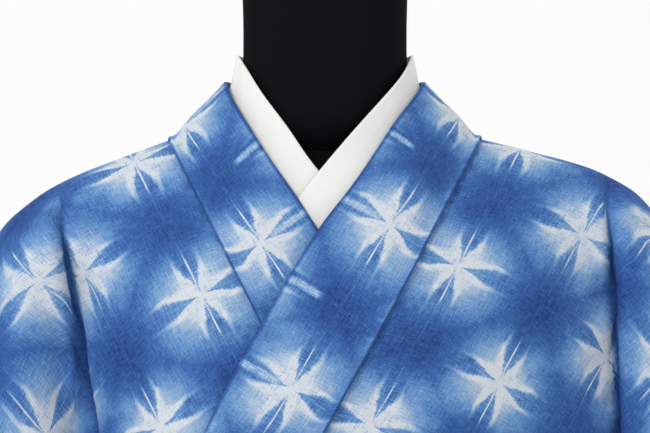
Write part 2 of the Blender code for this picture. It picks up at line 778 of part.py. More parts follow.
def make_collars(bodies, overlaps):
    """The long collar and the white collar inside it, each one band."""
    stations = []
    for side in SIDES:
        front, back, _, back_normals = bodies[side]
        line = []
        for number in range(len(ROW_DROPS) + COLLAR_SKIRT_ROWS):
            points, lifts = collar_bases(side, number)
            sewn = sewn_start(side, number, bodies, overlaps)
            top = white_top(side, number) if number <= WHITE_LAST_ROW else None
            line.append((sewn, points, lifts, top))
        line = line[::-1]
        for number in range(1, BACK_NECK_ROWS + 1):
            share = number / BACK_NECK_ROWS
            points, lifts = back_collar_bases(side, share)
            edge = back[number][0].copy()
            below = back[number + 1][1 if number < BACK_NECK_ROWS else 0]
            lap = edge + (below - edge).normalized() * COLLAR_LAP
            if number == BACK_NECK_ROWS:
                edge.x = lap.x = 0.0
                points = [Vector((0, *point.yz)) for point in points]
            normal = back_normals[number][0]
            sewn = (lap + normal * BACK_LAP_LIFT, edge + normal * BACK_EDGE_LIFT)
            line.append((sewn, points, lifts, back_white_top(side, share)))
        stations.append(line)
    stations = stations[0] + stations[1][::-1][1:]
    bases = [[station[0][1], *station[1]] for station in stations]
    base_normals = [[-normal for normal in line] for line in grid_normals(bases)]
    lengths = (COLLAR_LIFT, lerp(COLLAR_LIFT, COLLAR_EDGE_LIFT, 0.6), COLLAR_EDGE_LIFT)
    grid = []
    white = []
    half = len(stations) // 2
    for number, (sewn, points, lifts, top) in enumerate(stations):
        row = list(sewn)
        for j, (point, lift, own) in enumerate(zip(points, lifts, lengths)):
            ease = WAIST_EASE if OBI_BOTTOM < point.z < OBI_TOP else 0.0
            row.append(point + base_normals[number][j + 1] * (lift + own + ease))
        grid.append(row)
        if top is not None:
            side = "left" if number <= half else "right"
            depth = WHITE_DEPTH[side]
            depth = lerp(WHITE_DEPTH["left"], depth, smooth(0, 4, abs(number - half) - 4))
            inner = [point - base_normals[number][j + 1] * depth for j, point in enumerate(points)]
            white.append(inner + [lerp(inner[-1], top, 0.5), top])
    wall("collar", grid, "indigo", thickness=BAND)
    wall("under_collar", white, "white")


def sleeve_face(side, edge_rows, face):
    """Rows of one face of a sleeve, from its top fold to its sewn bottom."""
    ends = [Spot(abs(edge_rows[-1].x), abs(edge_rows[-1].y), edge_rows[-1].z), *FREE_EDGE]
    free = Path(ends)
    inner = [Vector((abs(point.x), abs(point.y), point.z)) for point in edge_rows]
    inner += [free.at((i + 1) / SLEEVE_FREE_ROWS) for i in range(SLEEVE_FREE_ROWS)]
    lengths = [0.0]
    for a, b in zip(inner, inner[1:]):
        lengths.append(lengths[-1] + (b - a).length)
    top_path, low_path, cuff = Path(SLEEVE_TOP), Path(SLEEVE_BOTTOM), Path(CUFF_EDGE)
    corners = (Vector(SLEEVE_TOP[0]), Vector(SLEEVE_TOP[-1]),
               Vector(SLEEVE_BOTTOM[0]), Vector(SLEEVE_BOTTOM[-1]))
    rows = []
    for start, length in zip(inner, lengths):
        t = length / lengths[-1]
        row = []
        for column in range(SLEEVE_COLUMNS + 1):
            s = column / SLEEVE_COLUMNS
            point = coons(top_path.at(s), low_path.at(s), start, cuff.at(t), corners, s, t)
            rise = math.sin(math.pi * s) * math.sin(math.pi * t) ** 0.7
            point.y = max(SLEEVE_HALF_GAP, point.y) if t > 0 else 0.0
            point.y += SLEEVE_BULGE * rise
            for fold in SLEEVE_FOLDS:
                apart = (s - fold.place - SLEEVE_FOLD_LEAN * (t - 0.5)) / fold.width
                point.y += fold.depth * math.exp(-apart * apart) * rise
            row.append(Vector((SIDES[side] * point.x, face * point.y, point.z)))
        rows.append(row)
    return rows


def make_sleeves(bodies):
    for side, way in SIDES.items():
        front, back, front_normals, back_normals = bodies[side]
        faces = []
        for rows, lines, face in ((front, front_normals, -1), (back, back_normals, 1)):
            edge = [row[-1] for row in rows[:TIP_ROW + 1]]
            face_rows = sleeve_face(side, edge, face)
            for number in range(TIP_ROW + 1):
                own = face_rows[number]
                towards = (own[1] - edge[number]).normalized()
                own[0] = edge[number] + towards * SLEEVE_SEAM
            faces.append(face_rows)
        grid = faces[0][::-1] + faces[1][1:]
        normals = grid_normals(grid)
        if side == "right":
            normals = [[-normal for normal in line] for line in normals]
        count = len(faces[0])
        for number in range(TIP_ROW + 1):
            normals[count - 1 - number][0] = front_normals[number][-1]
            normals[count - 1 + number][0] = back_normals[number][-1]
        wall("sleeve_" + side, grid, "indigo", normals=normals)


def bowed(wave, power):
    """A sine or cosine with its rounded ends squared off."""
    return math.copysign(abs(wave) ** power, wave)


def make_obi():
    """The belt round the waist."""
    grid = []
    for i in range(OBI_ROWS):
        z = lerp(OBI_BOTTOM, OBI_TOP, i / (OBI_ROWS - 1))
        angles = [-180 + 360 * j / OBI_COLUMNS for j in range(OBI_COLUMNS)]
        grid.append([ring_point(SKIRT, angle, z, read(OBI_LIFT, "lift", angle))
                     for angle in angles])
    wall("obi", grid, "deep_indigo", thickness=OBI_WALL, closed=True)


def make_bow():
    """Both loops of the bow behind, as one flattened ring pinched in the middle."""
    middle_y = read(SKIRT, "back", BOW_Z) + BOW_BEHIND
    grid = []
    for i in range(BOW_ROWS):
        share = 2 * i / (BOW_ROWS - 1) - 1
        line = []
        for j in range(BOW_COLUMNS):
            turn = 2 * math.pi * j / BOW_COLUMNS
            x = BOW_REACH * math.cos(turn)
            out = (x / BOW_REACH) ** 2
            spread = smooth(0.0, BOW_SPREAD, abs(x))
            depth = BOW_PINCH_DEPTH + BOW_LOOP_DEPTH * spread
            half = lerp(BOW_PINCH, BOW_HALF_HEIGHT, spread)
            y = middle_y + depth * bowed(math.sin(turn), 0.6) - BOW_SWEEP * out
            line.append(Vector((x, y, BOW_Z + share * half - BOW_DROOP * out)))
        grid.append(line)
    wall("obi_bow", grid, "deep_indigo", thickness=BOW_WALL, closed=True)


def make_knot():
    """The band that holds the bow's middle."""
    middle_y = read(SKIRT, "back", BOW_Z) + KNOT_BEHIND
    grid = []
    for i in range(KNOT_ROWS):
        share = i / (KNOT_ROWS - 1)
        x = lerp(-KNOT_HALF_WIDTH, KNOT_HALF_WIDTH, share)
        swell = KNOT_SWELL * math.sin(math.pi * share)
        line = []
        for j in range(KNOT_COLUMNS):
            turn = 2 * math.pi * j / KNOT_COLUMNS
            y = middle_y + (KNOT_HALF_DEPTH + swell) * bowed(math.cos(turn), 0.7)
            z = BOW_Z + (KNOT_HALF_HEIGHT + swell) * bowed(math.sin(turn), 0.7)
            line.append(Vector((x, y, z)))
        grid.append(line)
    wall("obi_knot", grid, "deep_indigo", thickness=BOW_WALL, closed=True)


def make_discs(name, discs, material, segments, centre_y=0.0):
    rings = [round_ring(disc.radius, disc.z, segments, centre_y) for disc in discs]
    lathe(name, rings, material, segments)


def make_form():
    """The dress form: torso with its neck, neck cap, pole and base."""
    rings = [torso_ring(row, FORM_SEGMENTS) for row in TORSO]
    lathe("form_torso", rings, "black", FORM_SEGMENTS)
    neck = TORSO[-1]
    make_discs("form_neck_cap", NECK_CAP, "black", CAP_SEGMENTS, (neck.back - neck.front) / 2)
    make_discs("stand_pole", POLE, "metal", POLE_SEGMENTS)
    make_discs("stand_base", BASE, "metal", BASE_SEGMENTS)


def main():
    for item in list(bpy.data.objects):
        bpy.data.objects.remove(item, do_unlink=True)
    bodies = make_bodies()
    overlaps = make_overlaps(bodies)
    make_collars(bodies, overlaps)
    make_sleeves(bodies)
    make_obi()
    make_bow()
    make_knot()
    make_form()


main()
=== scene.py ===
"""The looks of a cotton yukata robe on a dress form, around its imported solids.

Metres, +Z up. The front faces -Y and the wearer's left is +X. The cloth's rough
grids come from the same numbers as the solids, and each is then refined, creased
and closed into a thin shell. A place across the robe is written as a reach: the
distance from the middle, positive towards the side that the panel belongs to.
"""
import math
from bisect import bisect
from collections import namedtuple
from itertools import accumulate

import bmesh
import bpy
import numpy as np
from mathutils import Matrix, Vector


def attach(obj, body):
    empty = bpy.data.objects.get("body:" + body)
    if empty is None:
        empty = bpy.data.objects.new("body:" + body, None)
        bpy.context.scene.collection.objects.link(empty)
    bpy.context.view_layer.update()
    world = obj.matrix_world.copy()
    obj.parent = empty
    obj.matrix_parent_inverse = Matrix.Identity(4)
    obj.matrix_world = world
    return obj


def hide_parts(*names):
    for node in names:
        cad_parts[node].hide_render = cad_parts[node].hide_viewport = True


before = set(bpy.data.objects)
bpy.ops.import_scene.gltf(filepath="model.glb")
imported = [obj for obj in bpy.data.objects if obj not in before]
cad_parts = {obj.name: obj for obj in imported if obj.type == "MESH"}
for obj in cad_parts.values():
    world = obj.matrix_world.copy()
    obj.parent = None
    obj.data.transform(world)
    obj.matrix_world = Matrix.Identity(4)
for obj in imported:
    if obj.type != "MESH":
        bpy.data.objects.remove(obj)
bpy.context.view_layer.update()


def table(kind, *rows):
    """Rows of a table whose columns have names."""
    return tuple(kind(*row) for row in rows)


# Cloth
WALL = 0.0015
BAND = 0.003
SEAM = 0.0003
SLEEVE_SEAM = 0.0008
LAP_GAP = 0.0007

# Heights
HEM_Z = 0.04
COLLAR_END_Z = 0.55
COLLAR_END_BLEND = (0.48, 0.54)
WAIST_Z = 0.985
OBI_BOTTOM = 0.885
OBI_TOP = 1.03
NECK_POINT_Z = 1.329
FRONT_DROP = NECK_POINT_Z - WAIST_Z

# Shoulders
SHOULDER_ROUND = 0.045
SHOULDER_BLEND = 0.085
NECK_POINT = 0.100

# Collar
COLLAR_LAP = 0.006
COLLAR_LIFT = WALL / 2 + LAP_GAP + BAND / 2
COLLAR_EDGE_LIFT = 0.0008
WAIST_EASE = 0.0012
LAP_LIFT = COLLAR_LIFT + 0.0007
BACK_LAP_LIFT = COLLAR_LIFT + 0.0015
BACK_EDGE_LIFT = COLLAR_LIFT + 0.0006
OVER_PANEL = 0.003
OVER_COLLAR = 0.0070
OVER_COLLAR_WAIST = 0.0085
# Heights between which the lift over the collar changes, and above which it is level
OVER_COLLAR_CHANGE = (1.05, 1.12)
LEVEL_LIFT_Z = 1.32
# Places past the inner collar's seam, in widths of that collar: where the outer front
# rises onto it, and where it starts and ends coming down, below the collar's end and
# over the collar
RISE = (-0.75, -0.32)
FALL_START = (0.1, 1.12)
FALL_END = (0.9, 1.9)
TIP_WIDTH = 0.003

# Shares of the collar's width at which its own surface is read
COLLAR_SHARES = (1 / 3, 2 / 3, 1.0)

# How far the free edge lies above the seam's place: at the chest, and more at the neck
EDGE_RISE = 0.0315
EDGE_NECK_RISE = 0.005
EDGE_RISE_HEIGHTS = (0.975, 1.08)
EDGE_NECK_Z = 1.27
# Above these heights the collar stands straight, and below them it lies on the chest
COLLAR_STANDS = (1.25, 1.31)
# How much of its lift the collar has kept halfway to its free edge
HALFWAY_LIFT = 0.6

# White inner collar: how far it lies below the collar, and how far it stands above it
WHITE_DEPTH = {"left": 0.0028, "right": 0.0054}
WHITE_RISE = 0.040
WHITE_NECK_RISE = 0.016
WHITE_NECK_Z = 1.28
# The two depths meet over these rows, counted from the middle of the back
WHITE_CHANGE = (4, 8)

# Grid
COLUMNS = 14
OVERLAP_COLUMNS = 4
SLEEVE_COLUMNS = 9
BACK_NECK_ROWS = 5

# How far below the neck point each row of a front panel meets its inner edge
ROW_DROPS = (0, 0.003, 0.011, 0.022, 0.036, 0.052, 0.07, 0.09, 0.11, 0.132,
             0.154, 0.176, 0.198, 0.2285, 0.26, 0.30)
TIP_ROW = 13
WHITE_LAST_ROW = 9
SKIRT_HEIGHTS = (WAIST_Z, 0.94, 0.885, 0.82, 0.75, 0.68, 0.615, COLLAR_END_Z,
                 0.46, 0.36, 0.26, 0.15, HEM_Z)
COLLAR_SKIRT_ROWS = 8

Ring = namedtuple("Ring", "z half_width front back")
SKIRT = table(Ring,
    (0.04, 0.190, 0.138, 0.140), (0.45, 0.184, 0.134, 0.136), (0.75, 0.180, 0.130, 0.132),
    (0.88, 0.166, 0.118, 0.112), (0.985, 0.150, 0.107, 0.092), (1.06, 0.183, 0.118, 0.101))
TORSO = table(Ring,
    (0.800, 0.120, 0.080, 0.080), (0.803, 0.145, 0.100, 0.098), (0.850, 0.152, 0.106, 0.104),
    (0.900, 0.146, 0.100, 0.095), (0.970, 0.130, 0.090, 0.076), (1.040, 0.136, 0.098, 0.081),
    (1.120, 0.146, 0.102, 0.087), (1.200, 0.149, 0.086, 0.086), (1.240, 0.148, 0.068, 0.078),
    (1.270, 0.147, 0.053, 0.068), (1.290, 0.146, 0.045, 0.062), (1.303, 0.142, 0.039, 0.057),
    (1.314, 0.132, 0.0335, 0.055), (1.3215, 0.112, 0.0300, 0.0535),
    (1.328, 0.087, 0.037, 0.060), (1.345, 0.0600, 0.0440, 0.0645),
    (1.370, 0.0558, 0.0450, 0.065), (1.400, 0.0556, 0.0455, 0.0655),
    (1.4285, 0.0562, 0.0460, 0.066))

Depth = namedtuple("Depth", "z front back")
CHEST = table(Depth,
    (0.985, 0.107, 0.092), (1.060, 0.114, 0.097), (1.130, 0.113, 0.101), (1.200, 0.102, 0.102),
    (1.250, 0.088, 0.099), (1.280, 0.075, 0.094), (1.310, 0.057, 0.086), (1.343, 0.035, 0.075),
    (1.360, 0.012, 0.066), (1.366, -0.012, 0.060))

# Where the chest turns back into the fold beside the sleeve
Turn = namedtuple("Turn", "z left right")
TURN = table(Turn,
    (0.985, 0.150, 0.150), (1.015, 0.160, 0.159), (1.043, 0.177, 0.173), (1.080, 0.192, 0.172),
    (1.130, 0.198, 0.166), (1.200, 0.197, 0.169), (1.280, 0.193, 0.178))
Lobe = namedtuple("Lobe", "centre half_width depth")
LOBES = {"left": Lobe(0.222, 0.050, 0.048), "right": Lobe(0.209, 0.054, 0.046)}
LOBE_BLEND = 0.016
# Heights between which the chest's outline grows squarer, and the lobe comes out
SQUARER = (1.04, 1.13)
LOBE_START = (1.0, 1.07)

Spot = namedtuple("Spot", "reach y z")
RIDGE = {
    "left": table(Spot,
        (NECK_POINT, 0.012, NECK_POINT_Z), (0.1565, 0.012, 1.3150), (0.1865, 0.012, 1.3050),
        (0.2165, 0.011, 1.2860), (0.2380, 0.008, 1.2500), (0.2500, 0.004, 1.2150),
        (0.2575, 0.000, 1.1870)),
    "right": table(Spot,
        (NECK_POINT, 0.012, NECK_POINT_Z), (0.1565, 0.012, 1.3080), (0.1820, 0.012, 1.2965),
        (0.1980, 0.011, 1.2860), (0.2165, 0.010, 1.2700), (0.2390, 0.006, 1.2350),
        (0.2575, 0.000, 1.1870)),
}
ARMHOLE = {
    "left": ((0.2575, 1.187), (0.253, 1.147), (0.242, 1.115), (0.222, 1.090),
             (0.196, 1.068), (0.170, 1.043), (0.155, 1.015), (0.150, 0.985)),
    "right": ((0.2575, 1.187), (0.252, 1.147), (0.239, 1.115), (0.216, 1.090),
              (0.190, 1.068), (0.167, 1.043), (0.154, 1.015), (0.150, 0.985)),
}

# The line on which the collar is sewn, as reach lost for each metre down
SEAM_SLOPE = {"left": 0.5445, "right": 0.522}
BACK_NECK = table(Spot,
    (NECK_POINT, 0.012, NECK_POINT_Z), (0.085, 0.048, 1.322), (0.048, 0.078, 1.309),
    (0.00015, 0.088, 1.303))
BACK_COLLAR_TOP = table(Spot,
    (0.066, 0.012, 1.3655), (0.064, 0.052, 1.366), (0.044, 0.086, 1.362), (0.0, 0.104, 1.358))
BACK_WHITE_TOP = table(Spot,
    (0.0590, 0.012, 1.385), (0.058, 0.050, 1.385), (0.040, 0.078, 1.381), (0.0, 0.093, 1.377))
Edge = namedtuple("Edge", "z left right")
COLLAR_INNER = table(Edge,
    (0.985, -0.131, -0.131), (1.060, -0.106, -0.106), (1.1315, -0.0786, -0.0770),
    (1.200, -0.0420, -0.0400), (1.2625, -0.0047, 0.0033), (1.2867, 0.0133, 0.0186),
    (1.3133, 0.0313, 0.0375), (1.3430, 0.0506, 0.0560), (1.3600, 0.0640, 0.0655),
    (1.3655, 0.0660, 0.0665))
WhiteEdge = namedtuple("WhiteEdge", "z left left_y right right_y")
WHITE_INNER = table(WhiteEdge,
    (1.200, -0.0820, -0.0975, -0.0800, -0.0945), (1.250, -0.0460, -0.0835, -0.0420, -0.0805),
    (1.287, -0.0186, -0.0690, -0.0160, -0.0655), (1.3046, -0.0047, -0.0625, 0.0047, -0.0590),
    (1.333, 0.0193, -0.0530, 0.0233, -0.0500), (1.357, 0.0410, -0.0385, 0.0420, -0.0355),
    (1.372, 0.0535, -0.0230, 0.0510, -0.0230), (1.385, 0.0590, 0.0120, 0.0590, 0.0120))

# How many columns in from the centre the back neck's drop dies out
NECK_DIP_COLUMNS = 4.5
# How far below the back neck the middle of the back has reached its own depth
NECK_SETTLE = 0.09

# Angles on the skirt, from the middle of the front towards the panel's own side
Wrap = namedtuple("Wrap", "z overlap_seam collar_seam")
WRAP = table(Wrap,
    (0.04, 2.0, -48.0), (0.55, -1.0, -45.0), (0.85, -8.0, -38.0), (0.985, -17.0, -35.3))
CENTRE_ANGLE = 0.05
SIDE_ANGLE = 89.9
# The right front's folds start where the left front no longer covers it
UNCOVERED = (66.0, 76.0)
COLLAR_ANGLE = 25.0

# Soft folds of the skirt, standing out from the ring
Fold = namedtuple("Fold", "angle width depth top")
FOLDS = table(Fold,
    (14, 8, 0.008, 0.80), (33, 7, 0.010, 0.84), (57, 9, 0.012, 0.86), (80, 7, 0.008, 0.70),
    (-20, 8, 0.007, 0.50), (-38, 6, 0.005, 0.42), (-80, 7, 0.010, 0.84), (104, 8, 0.010, 0.82),
    (127, 9, 0.013, 0.86), (152, 8, 0.009, 0.78), (-103, 8, 0.011, 0.84),
    (-129, 8, 0.009, 0.80), (-155, 9, 0.012, 0.86))

# Sleeve, as it hangs with no arm in it
SLEEVE_TOP = table(Spot,
    (0.2575, 0, 1.187), (0.282, 0, 1.10), (0.301, 0, 1.0), (0.315, 0, 0.86))
FREE_EDGE = (Spot(0.189, 0.034, 0.95), Spot(0.197, 0.024, 0.84), Spot(0.204, 0.0009, 0.752))
CUFF_EDGE = table(Spot,
    (0.315, 0, 0.86), (0.323, 0.020, 0.80), (0.320, 0.017, 0.74), (0.312, 0.0009, 0.695),
    (0.296, 0.0009, 0.64), (0.276, 0.0009, 0.60))
SLEEVE_BOTTOM = table(Spot,
    (0.204, 0.0009, 0.752), (0.222, 0.0009, 0.685), (0.248, 0.0009, 0.632),
    (0.276, 0.0009, 0.60))
SLEEVE_FREE_ROWS = 7
SLEEVE_BULGE = 0.014
SLEEVE_FULLNESS = 0.7
SLEEVE_HALF_GAP = 0.0009
SLEEVE_FOLD_LEAN = 0.15
SleeveFold = namedtuple("SleeveFold", "place width depth")
SLEEVE_FOLDS = table(SleeveFold,
    (0.22, 0.10, 0.010), (0.55, 0.12, -0.007), (0.80, 0.09, 0.008))

# Belt
OBI_WALL = 0.003
OBI_ROWS = 5
OBI_COLUMNS = 48
ObiLift = namedtuple("ObiLift", "angle lift")
OBI_LIFT = table(ObiLift,
    (-180, 0.0038), (-110, 0.0060), (-75, 0.0090), (-60, 0.0118), (-30, 0.0116), (0, 0.0105),
    (30, 0.0130), (62, 0.0132), (85, 0.0090), (110, 0.0065), (180, 0.0038))
BOW_WALL = 0.002
BOW_Z = 0.977
BOW_BEHIND = 0.0339
BOW_REACH = 0.150
BOW_HALF_HEIGHT = 0.072
BOW_PINCH = 0.030
BOW_PINCH_DEPTH = 0.006
BOW_LOOP_DEPTH = 0.016
BOW_SPREAD = 0.09
BOW_DROOP = 0.045
BOW_SWEEP = 0.0145
BOW_SQUARE = 0.6
BOW_ROWS = 5
BOW_COLUMNS = 40
KNOT_BEHIND = 0.0335
KNOT_HALF_WIDTH = 0.030
KNOT_HALF_DEPTH = 0.0195
KNOT_HALF_HEIGHT = 0.052
KNOT_SWELL = 0.004
KNOT_SQUARE = 0.7
KNOT_ROWS = 5
KNOT_COLUMNS = 20

# Form
Disc = namedtuple("Disc", "radius z")
NECK_CAP = table(Disc,
    (0.0560, 1.4288), (0.0560, 1.4310), (0.0535, 1.4345), (0.0450, 1.4375), (0.020, 1.4395))
SIDES = {"left": 1, "right": -1}


def lerp(start, end, share):
    return start + (end - start) * share


def smooth(low, high, value):
    """Eased share of the way from low to high, of a number or an array."""
    share = np.clip((value - low) / (high - low), 0.0, 1.0)
    return share * share * (3.0 - 2.0 * share)


def read(rows, column, value):
    """Read a column of a table at a value of its first column, without overshoot."""
    keys = [row[0] for row in rows]
    held = [getattr(row, column) for row in rows]
    slopes = [(b - a) / (d - c) for a, b, c, d in zip(held, held[1:], keys, keys[1:])]
    inner = [2 * a * b / (a + b) if a * b > 0 else 0.0 for a, b in zip(slopes, slopes[1:])]
    tangents = [slopes[0], *inner, slopes[-1]]
    i = min(max(bisect(keys, value), 1), len(keys) - 1) - 1
    step = keys[i + 1] - keys[i]
    t = min(1.0, max(0.0, (value - keys[i]) / step))
    bend = tangents[i] * t * (1 - t) ** 2 - tangents[i + 1] * t * t * (1 - t)
    return lerp(held[i], held[i + 1], (3 - 2 * t) * t * t) + bend * step


def between(a, b, c, d, t):
    """Place on a smooth curve from b to c that comes from a and goes on to d."""
    return 0.5 * (2 * b + (c - a) * t + (2 * a - 5 * b + 4 * c - d) * t ** 2
                  + (3 * b - a - 3 * c + d) * t ** 3)


def refine(points, times, axis, closed=False):
    """Points of a smooth curve through the given ones along an axis."""
    points = np.moveaxis(points, axis, 0)
    if closed:
        padded = np.concatenate((points[-1:], points, points[:2]))
    else:
        padded = np.concatenate((2 * points[:1] - points[1:2], points,
                                 2 * points[-1:] - points[-2:-1]))
    four = padded[:-3], padded[1:-2], padded[2:-1], padded[3:]
    fine = np.stack([between(*four, step / times) for step in range(times)], 1)
    fine = fine.reshape(-1, *points.shape[1:])
    if not closed:
        fine = np.concatenate((fine, points[-1:]))
    return np.moveaxis(fine, 0, axis)


def lengths_along(points, axis):
    """Length run along an axis of a grid of points up to each point."""
    steps = np.linalg.norm(np.diff(points, axis=axis), axis=2)
    start = np.zeros_like(np.take(steps, [0], axis=axis))
    return np.cumsum(np.concatenate((start, steps), axis=axis), axis=axis)


def fine_normals(points, closed=False):
    """Normals at the points of a grid, away from its right-hand side."""
    down = np.gradient(points, axis=0)
    if closed:
        across = np.roll(points, -1, 1) - np.roll(points, 1, 1)
    else:
        across = np.gradient(points, axis=1)
    normals = np.cross(across, down)
    return normals / np.maximum(np.linalg.norm(normals, axis=2, keepdims=True), 1e-12)


def as_array(grid):
    """Grid of points as an array of rows, columns and three places."""
    return np.array([[tuple(point) for point in row] for row in grid])


class Path:
    """A smooth curve through points, read by a share of its length."""

    STEPS = 10

    def __init__(self, points):
        points = [Vector(point) for point in points]
        ends = [2 * points[0] - points[1], *points, 2 * points[-1] - points[-2]]
        self.points = [between(*four, step / self.STEPS)
                       for four in zip(ends, ends[1:], ends[2:], ends[3:])
                       for step in range(self.STEPS)]
        self.points.append(points[-1])
        steps = [(b - a).length for a, b in zip(self.points, self.points[1:])]
        self.lengths = [0.0, *accumulate(steps)]

    def at(self, share):
        goal = min(1.0, max(0.0, share)) * self.lengths[-1]
        index = min(bisect(self.lengths, goal), len(self.lengths) - 1) - 1
        span = self.lengths[index + 1] - self.lengths[index]
        return self.points[index].lerp(self.points[index + 1], (goal - self.lengths[index]) / span)


def turns(count):
    """Angles of a full turn in equal steps."""
    return np.arange(count) * (2 * math.pi / count)


def coons(top, bottom, inner, outer, corners, s, t):
    """Point of a patch from its four edge points at s across and t down."""
    ruled = lerp(top, bottom, t) + lerp(inner, outer, s)
    return ruled - lerp(lerp(corners[0], corners[1], s), lerp(corners[2], corners[3], s), t)


def side_of(x):
    return "left" if x >= 0 else "right"


def face_depth(x, z, column):
    """Depth of the chest or the back behind a point seen from the front."""
    side = side_of(x)
    lobe = LOBES[side]
    soft = smooth(*SQUARER, z)
    across = min(1.0, abs(x) / read(TURN, side, z))
    body = read(CHEST, column, z) * (1.0 - across ** (2.0 + 0.4 * soft)) ** (0.5 + 0.08 * soft)
    share = (abs(x) - lobe.centre) / lobe.half_width
    present = smooth(*LOBE_START, z)
    hanging = lobe.depth * max(0.0, 1.0 - share * share) * present
    return 0.5 * (body + hanging + math.hypot(body - hanging, LOBE_BLEND * present))


def seam_reach(side, z):
    """Reach of the panel edge under the collar."""
    return NECK_POINT - SEAM_SLOPE[side] * (NECK_POINT_Z - z)


def outer_lift(past_seam, collar_share, over_collar):
    """Lift of the outer front over the inner one. past_seam is 0 at the inner
    collar's seam and 1 at its free edge."""
    start = lerp(*FALL_START, collar_share)
    end = lerp(*FALL_END, collar_share)
    stack = OVER_PANEL + (over_collar - OVER_PANEL) * collar_share * smooth(*RISE, past_seam)
    return stack * (1.0 - smooth(start, end, past_seam))


def chest_lift(side, x, z):
    if side == "right":
        return 0.0
    height = min(z, LEVEL_LIFT_Z)
    edge = seam_reach("right", height)
    over_collar = lerp(OVER_COLLAR_WAIST, OVER_COLLAR, smooth(*OVER_COLLAR_CHANGE, z))
    lift = outer_lift((edge + x) / (edge - read(COLLAR_INNER, "right", height)), 1.0, over_collar)
    turn = read(TURN, side_of(x), z)
    across = min(0.9, abs(x) / turn)
    ahead = math.sqrt(1.0 - across * across) / read(CHEST, "front", z)
    return lift * math.hypot(across / turn, ahead) / ahead


def skirt_lift(side, angle, z):
    if side == "right":
        return 0.0
    past_seam = (angle + read(WRAP, "collar_seam", z)) / COLLAR_ANGLE
    return outer_lift(past_seam, smooth(*COLLAR_END_BLEND, z), OVER_COLLAR_WAIST)


def fold_height(angle, z):
    total = 0.0
    for fold in FOLDS:
        apart = (angle - fold.angle + 180.0) % 360.0 - 180.0
        height = fold.depth * math.exp(-(apart / fold.width) ** 2)
        total += height * (1.0 - smooth(HEM_Z, fold.top, z))
    return total


def ring_point(rows, angle, z, lift=0.0):
    """Point on a ring of a table, moved out by lift. The angle is 0 in front."""
    half_width = read(rows, "half_width", z)
    turn = math.radians(angle)
    depth = read(rows, "front" if math.cos(turn) > 0 else "back", z)
    x = half_width * math.sin(turn)
    y = -depth * math.cos(turn)
    out = Vector((x / half_width ** 2, y / depth ** 2, 0)).normalized()
    return Vector((x, y, z)) + out * lift


def form_ring(half_width, front, back, z, columns):
    """Level ellipse of the dress form, which may lie off the middle."""
    turn = turns(columns)
    y = (back - front) / 2 - (back + front) / 2 * np.cos(turn)
    return np.stack((half_width * np.sin(turn), y, np.full(columns, z)), 1)


def chest_point(side, reach, z, ridge_y=0.0, drop=1.0, face=-1, lifted=True):
    """Point of a front (face -1) or a back (face 1) panel at a reach and a height."""
    x = SIDES[side] * reach
    depth = face_depth(x, z, "front" if face < 0 else "back")
    if face < 0 and lifted:
        depth += chest_lift(side, x, z)
    below = min(drop, SHOULDER_ROUND)
    turned = math.sqrt(max(0.0, SHOULDER_ROUND ** 2 - (SHOULDER_ROUND - below) ** 2))
    blend = smooth(0.0, SHOULDER_BLEND, drop)
    return Vector((x, lerp(ridge_y + face * turned, face * depth, blend), z))


def front_inner(side, drop):
    """Inner edge of a front panel: along the collar down to the overlap, then its seam."""
    z = NECK_POINT_Z - drop
    tip_z = NECK_POINT_Z - ROW_DROPS[TIP_ROW]
    if z >= tip_z:
        share = drop / ROW_DROPS[TIP_ROW]
        return Vector((seam_reach(side, z) + TIP_WIDTH * smooth(0.9, 1.0, share), z))
    start = seam_reach(side, tip_z) + TIP_WIDTH
    end = read(TURN, side, WAIST_Z) * math.sin(math.radians(read(WRAP, "overlap_seam", WAIST_Z)))
    return Vector((lerp(start, end, (tip_z - z) / (tip_z - WAIST_Z)), z))


def back_inner(number):
    """Inner edge of a back panel and its depth: round the neck, then down the middle."""
    if number <= BACK_NECK_ROWS:
        spot = Path(BACK_NECK).at(number / BACK_NECK_ROWS)
        return spot.xz, spot.y
    low = BACK_NECK[-1]
    neck_drop = ROW_DROPS[BACK_NECK_ROWS]
    share = (ROW_DROPS[number] - neck_drop) / (FRONT_DROP - neck_drop)
    inner = Vector((SEAM / 2, lerp(low.z, WAIST_Z, share)))
    settled = smooth(0.0, NECK_SETTLE, low.z - inner.y)
    return inner, lerp(low.y, face_depth(inner.x, inner.y, "back"), settled)


def upper_half(side, face):
    """Rows of a body panel from the shoulder to the waist, in front or behind."""
    ridge, armhole = Path(RIDGE[side]), Path(ARMHOLE[side])
    seam_angle = read(WRAP, "overlap_seam", WAIST_Z) if face < 0 else CENTRE_ANGLE
    shares = [column / COLUMNS for column in range(COLUMNS + 1)]
    tops = [ridge.at(s) for s in shares]
    angles = [math.radians(lerp(seam_angle, SIDE_ANGLE, s)) for s in shares]
    waist = [Vector((read(TURN, side, WAIST_Z) * math.sin(angle), WAIST_Z)) for angle in angles]
    corners = (tops[0].xz, tops[-1].xz, waist[0], waist[-1])
    rows = []
    for number, drop in enumerate(ROW_DROPS):
        t = drop / FRONT_DROP
        inner, set_y = (front_inner(side, drop), None) if face < 0 else back_inner(number)
        outer = armhole.at(t)
        row = []
        for s, top, bottom in zip(shares, tops, waist):
            place = coons(top.xz, bottom, inner, outer, corners, s, t)
            row.append(chest_point(side, place.x, place.y, top.y, top.z - place.y, face))
        if set_y is not None:
            shift = set_y - row[0].y
            for column, point in enumerate(row):
                point.y += shift * math.exp(-((column / NECK_DIP_COLUMNS) ** 2))
        rows.append(row)
    return rows


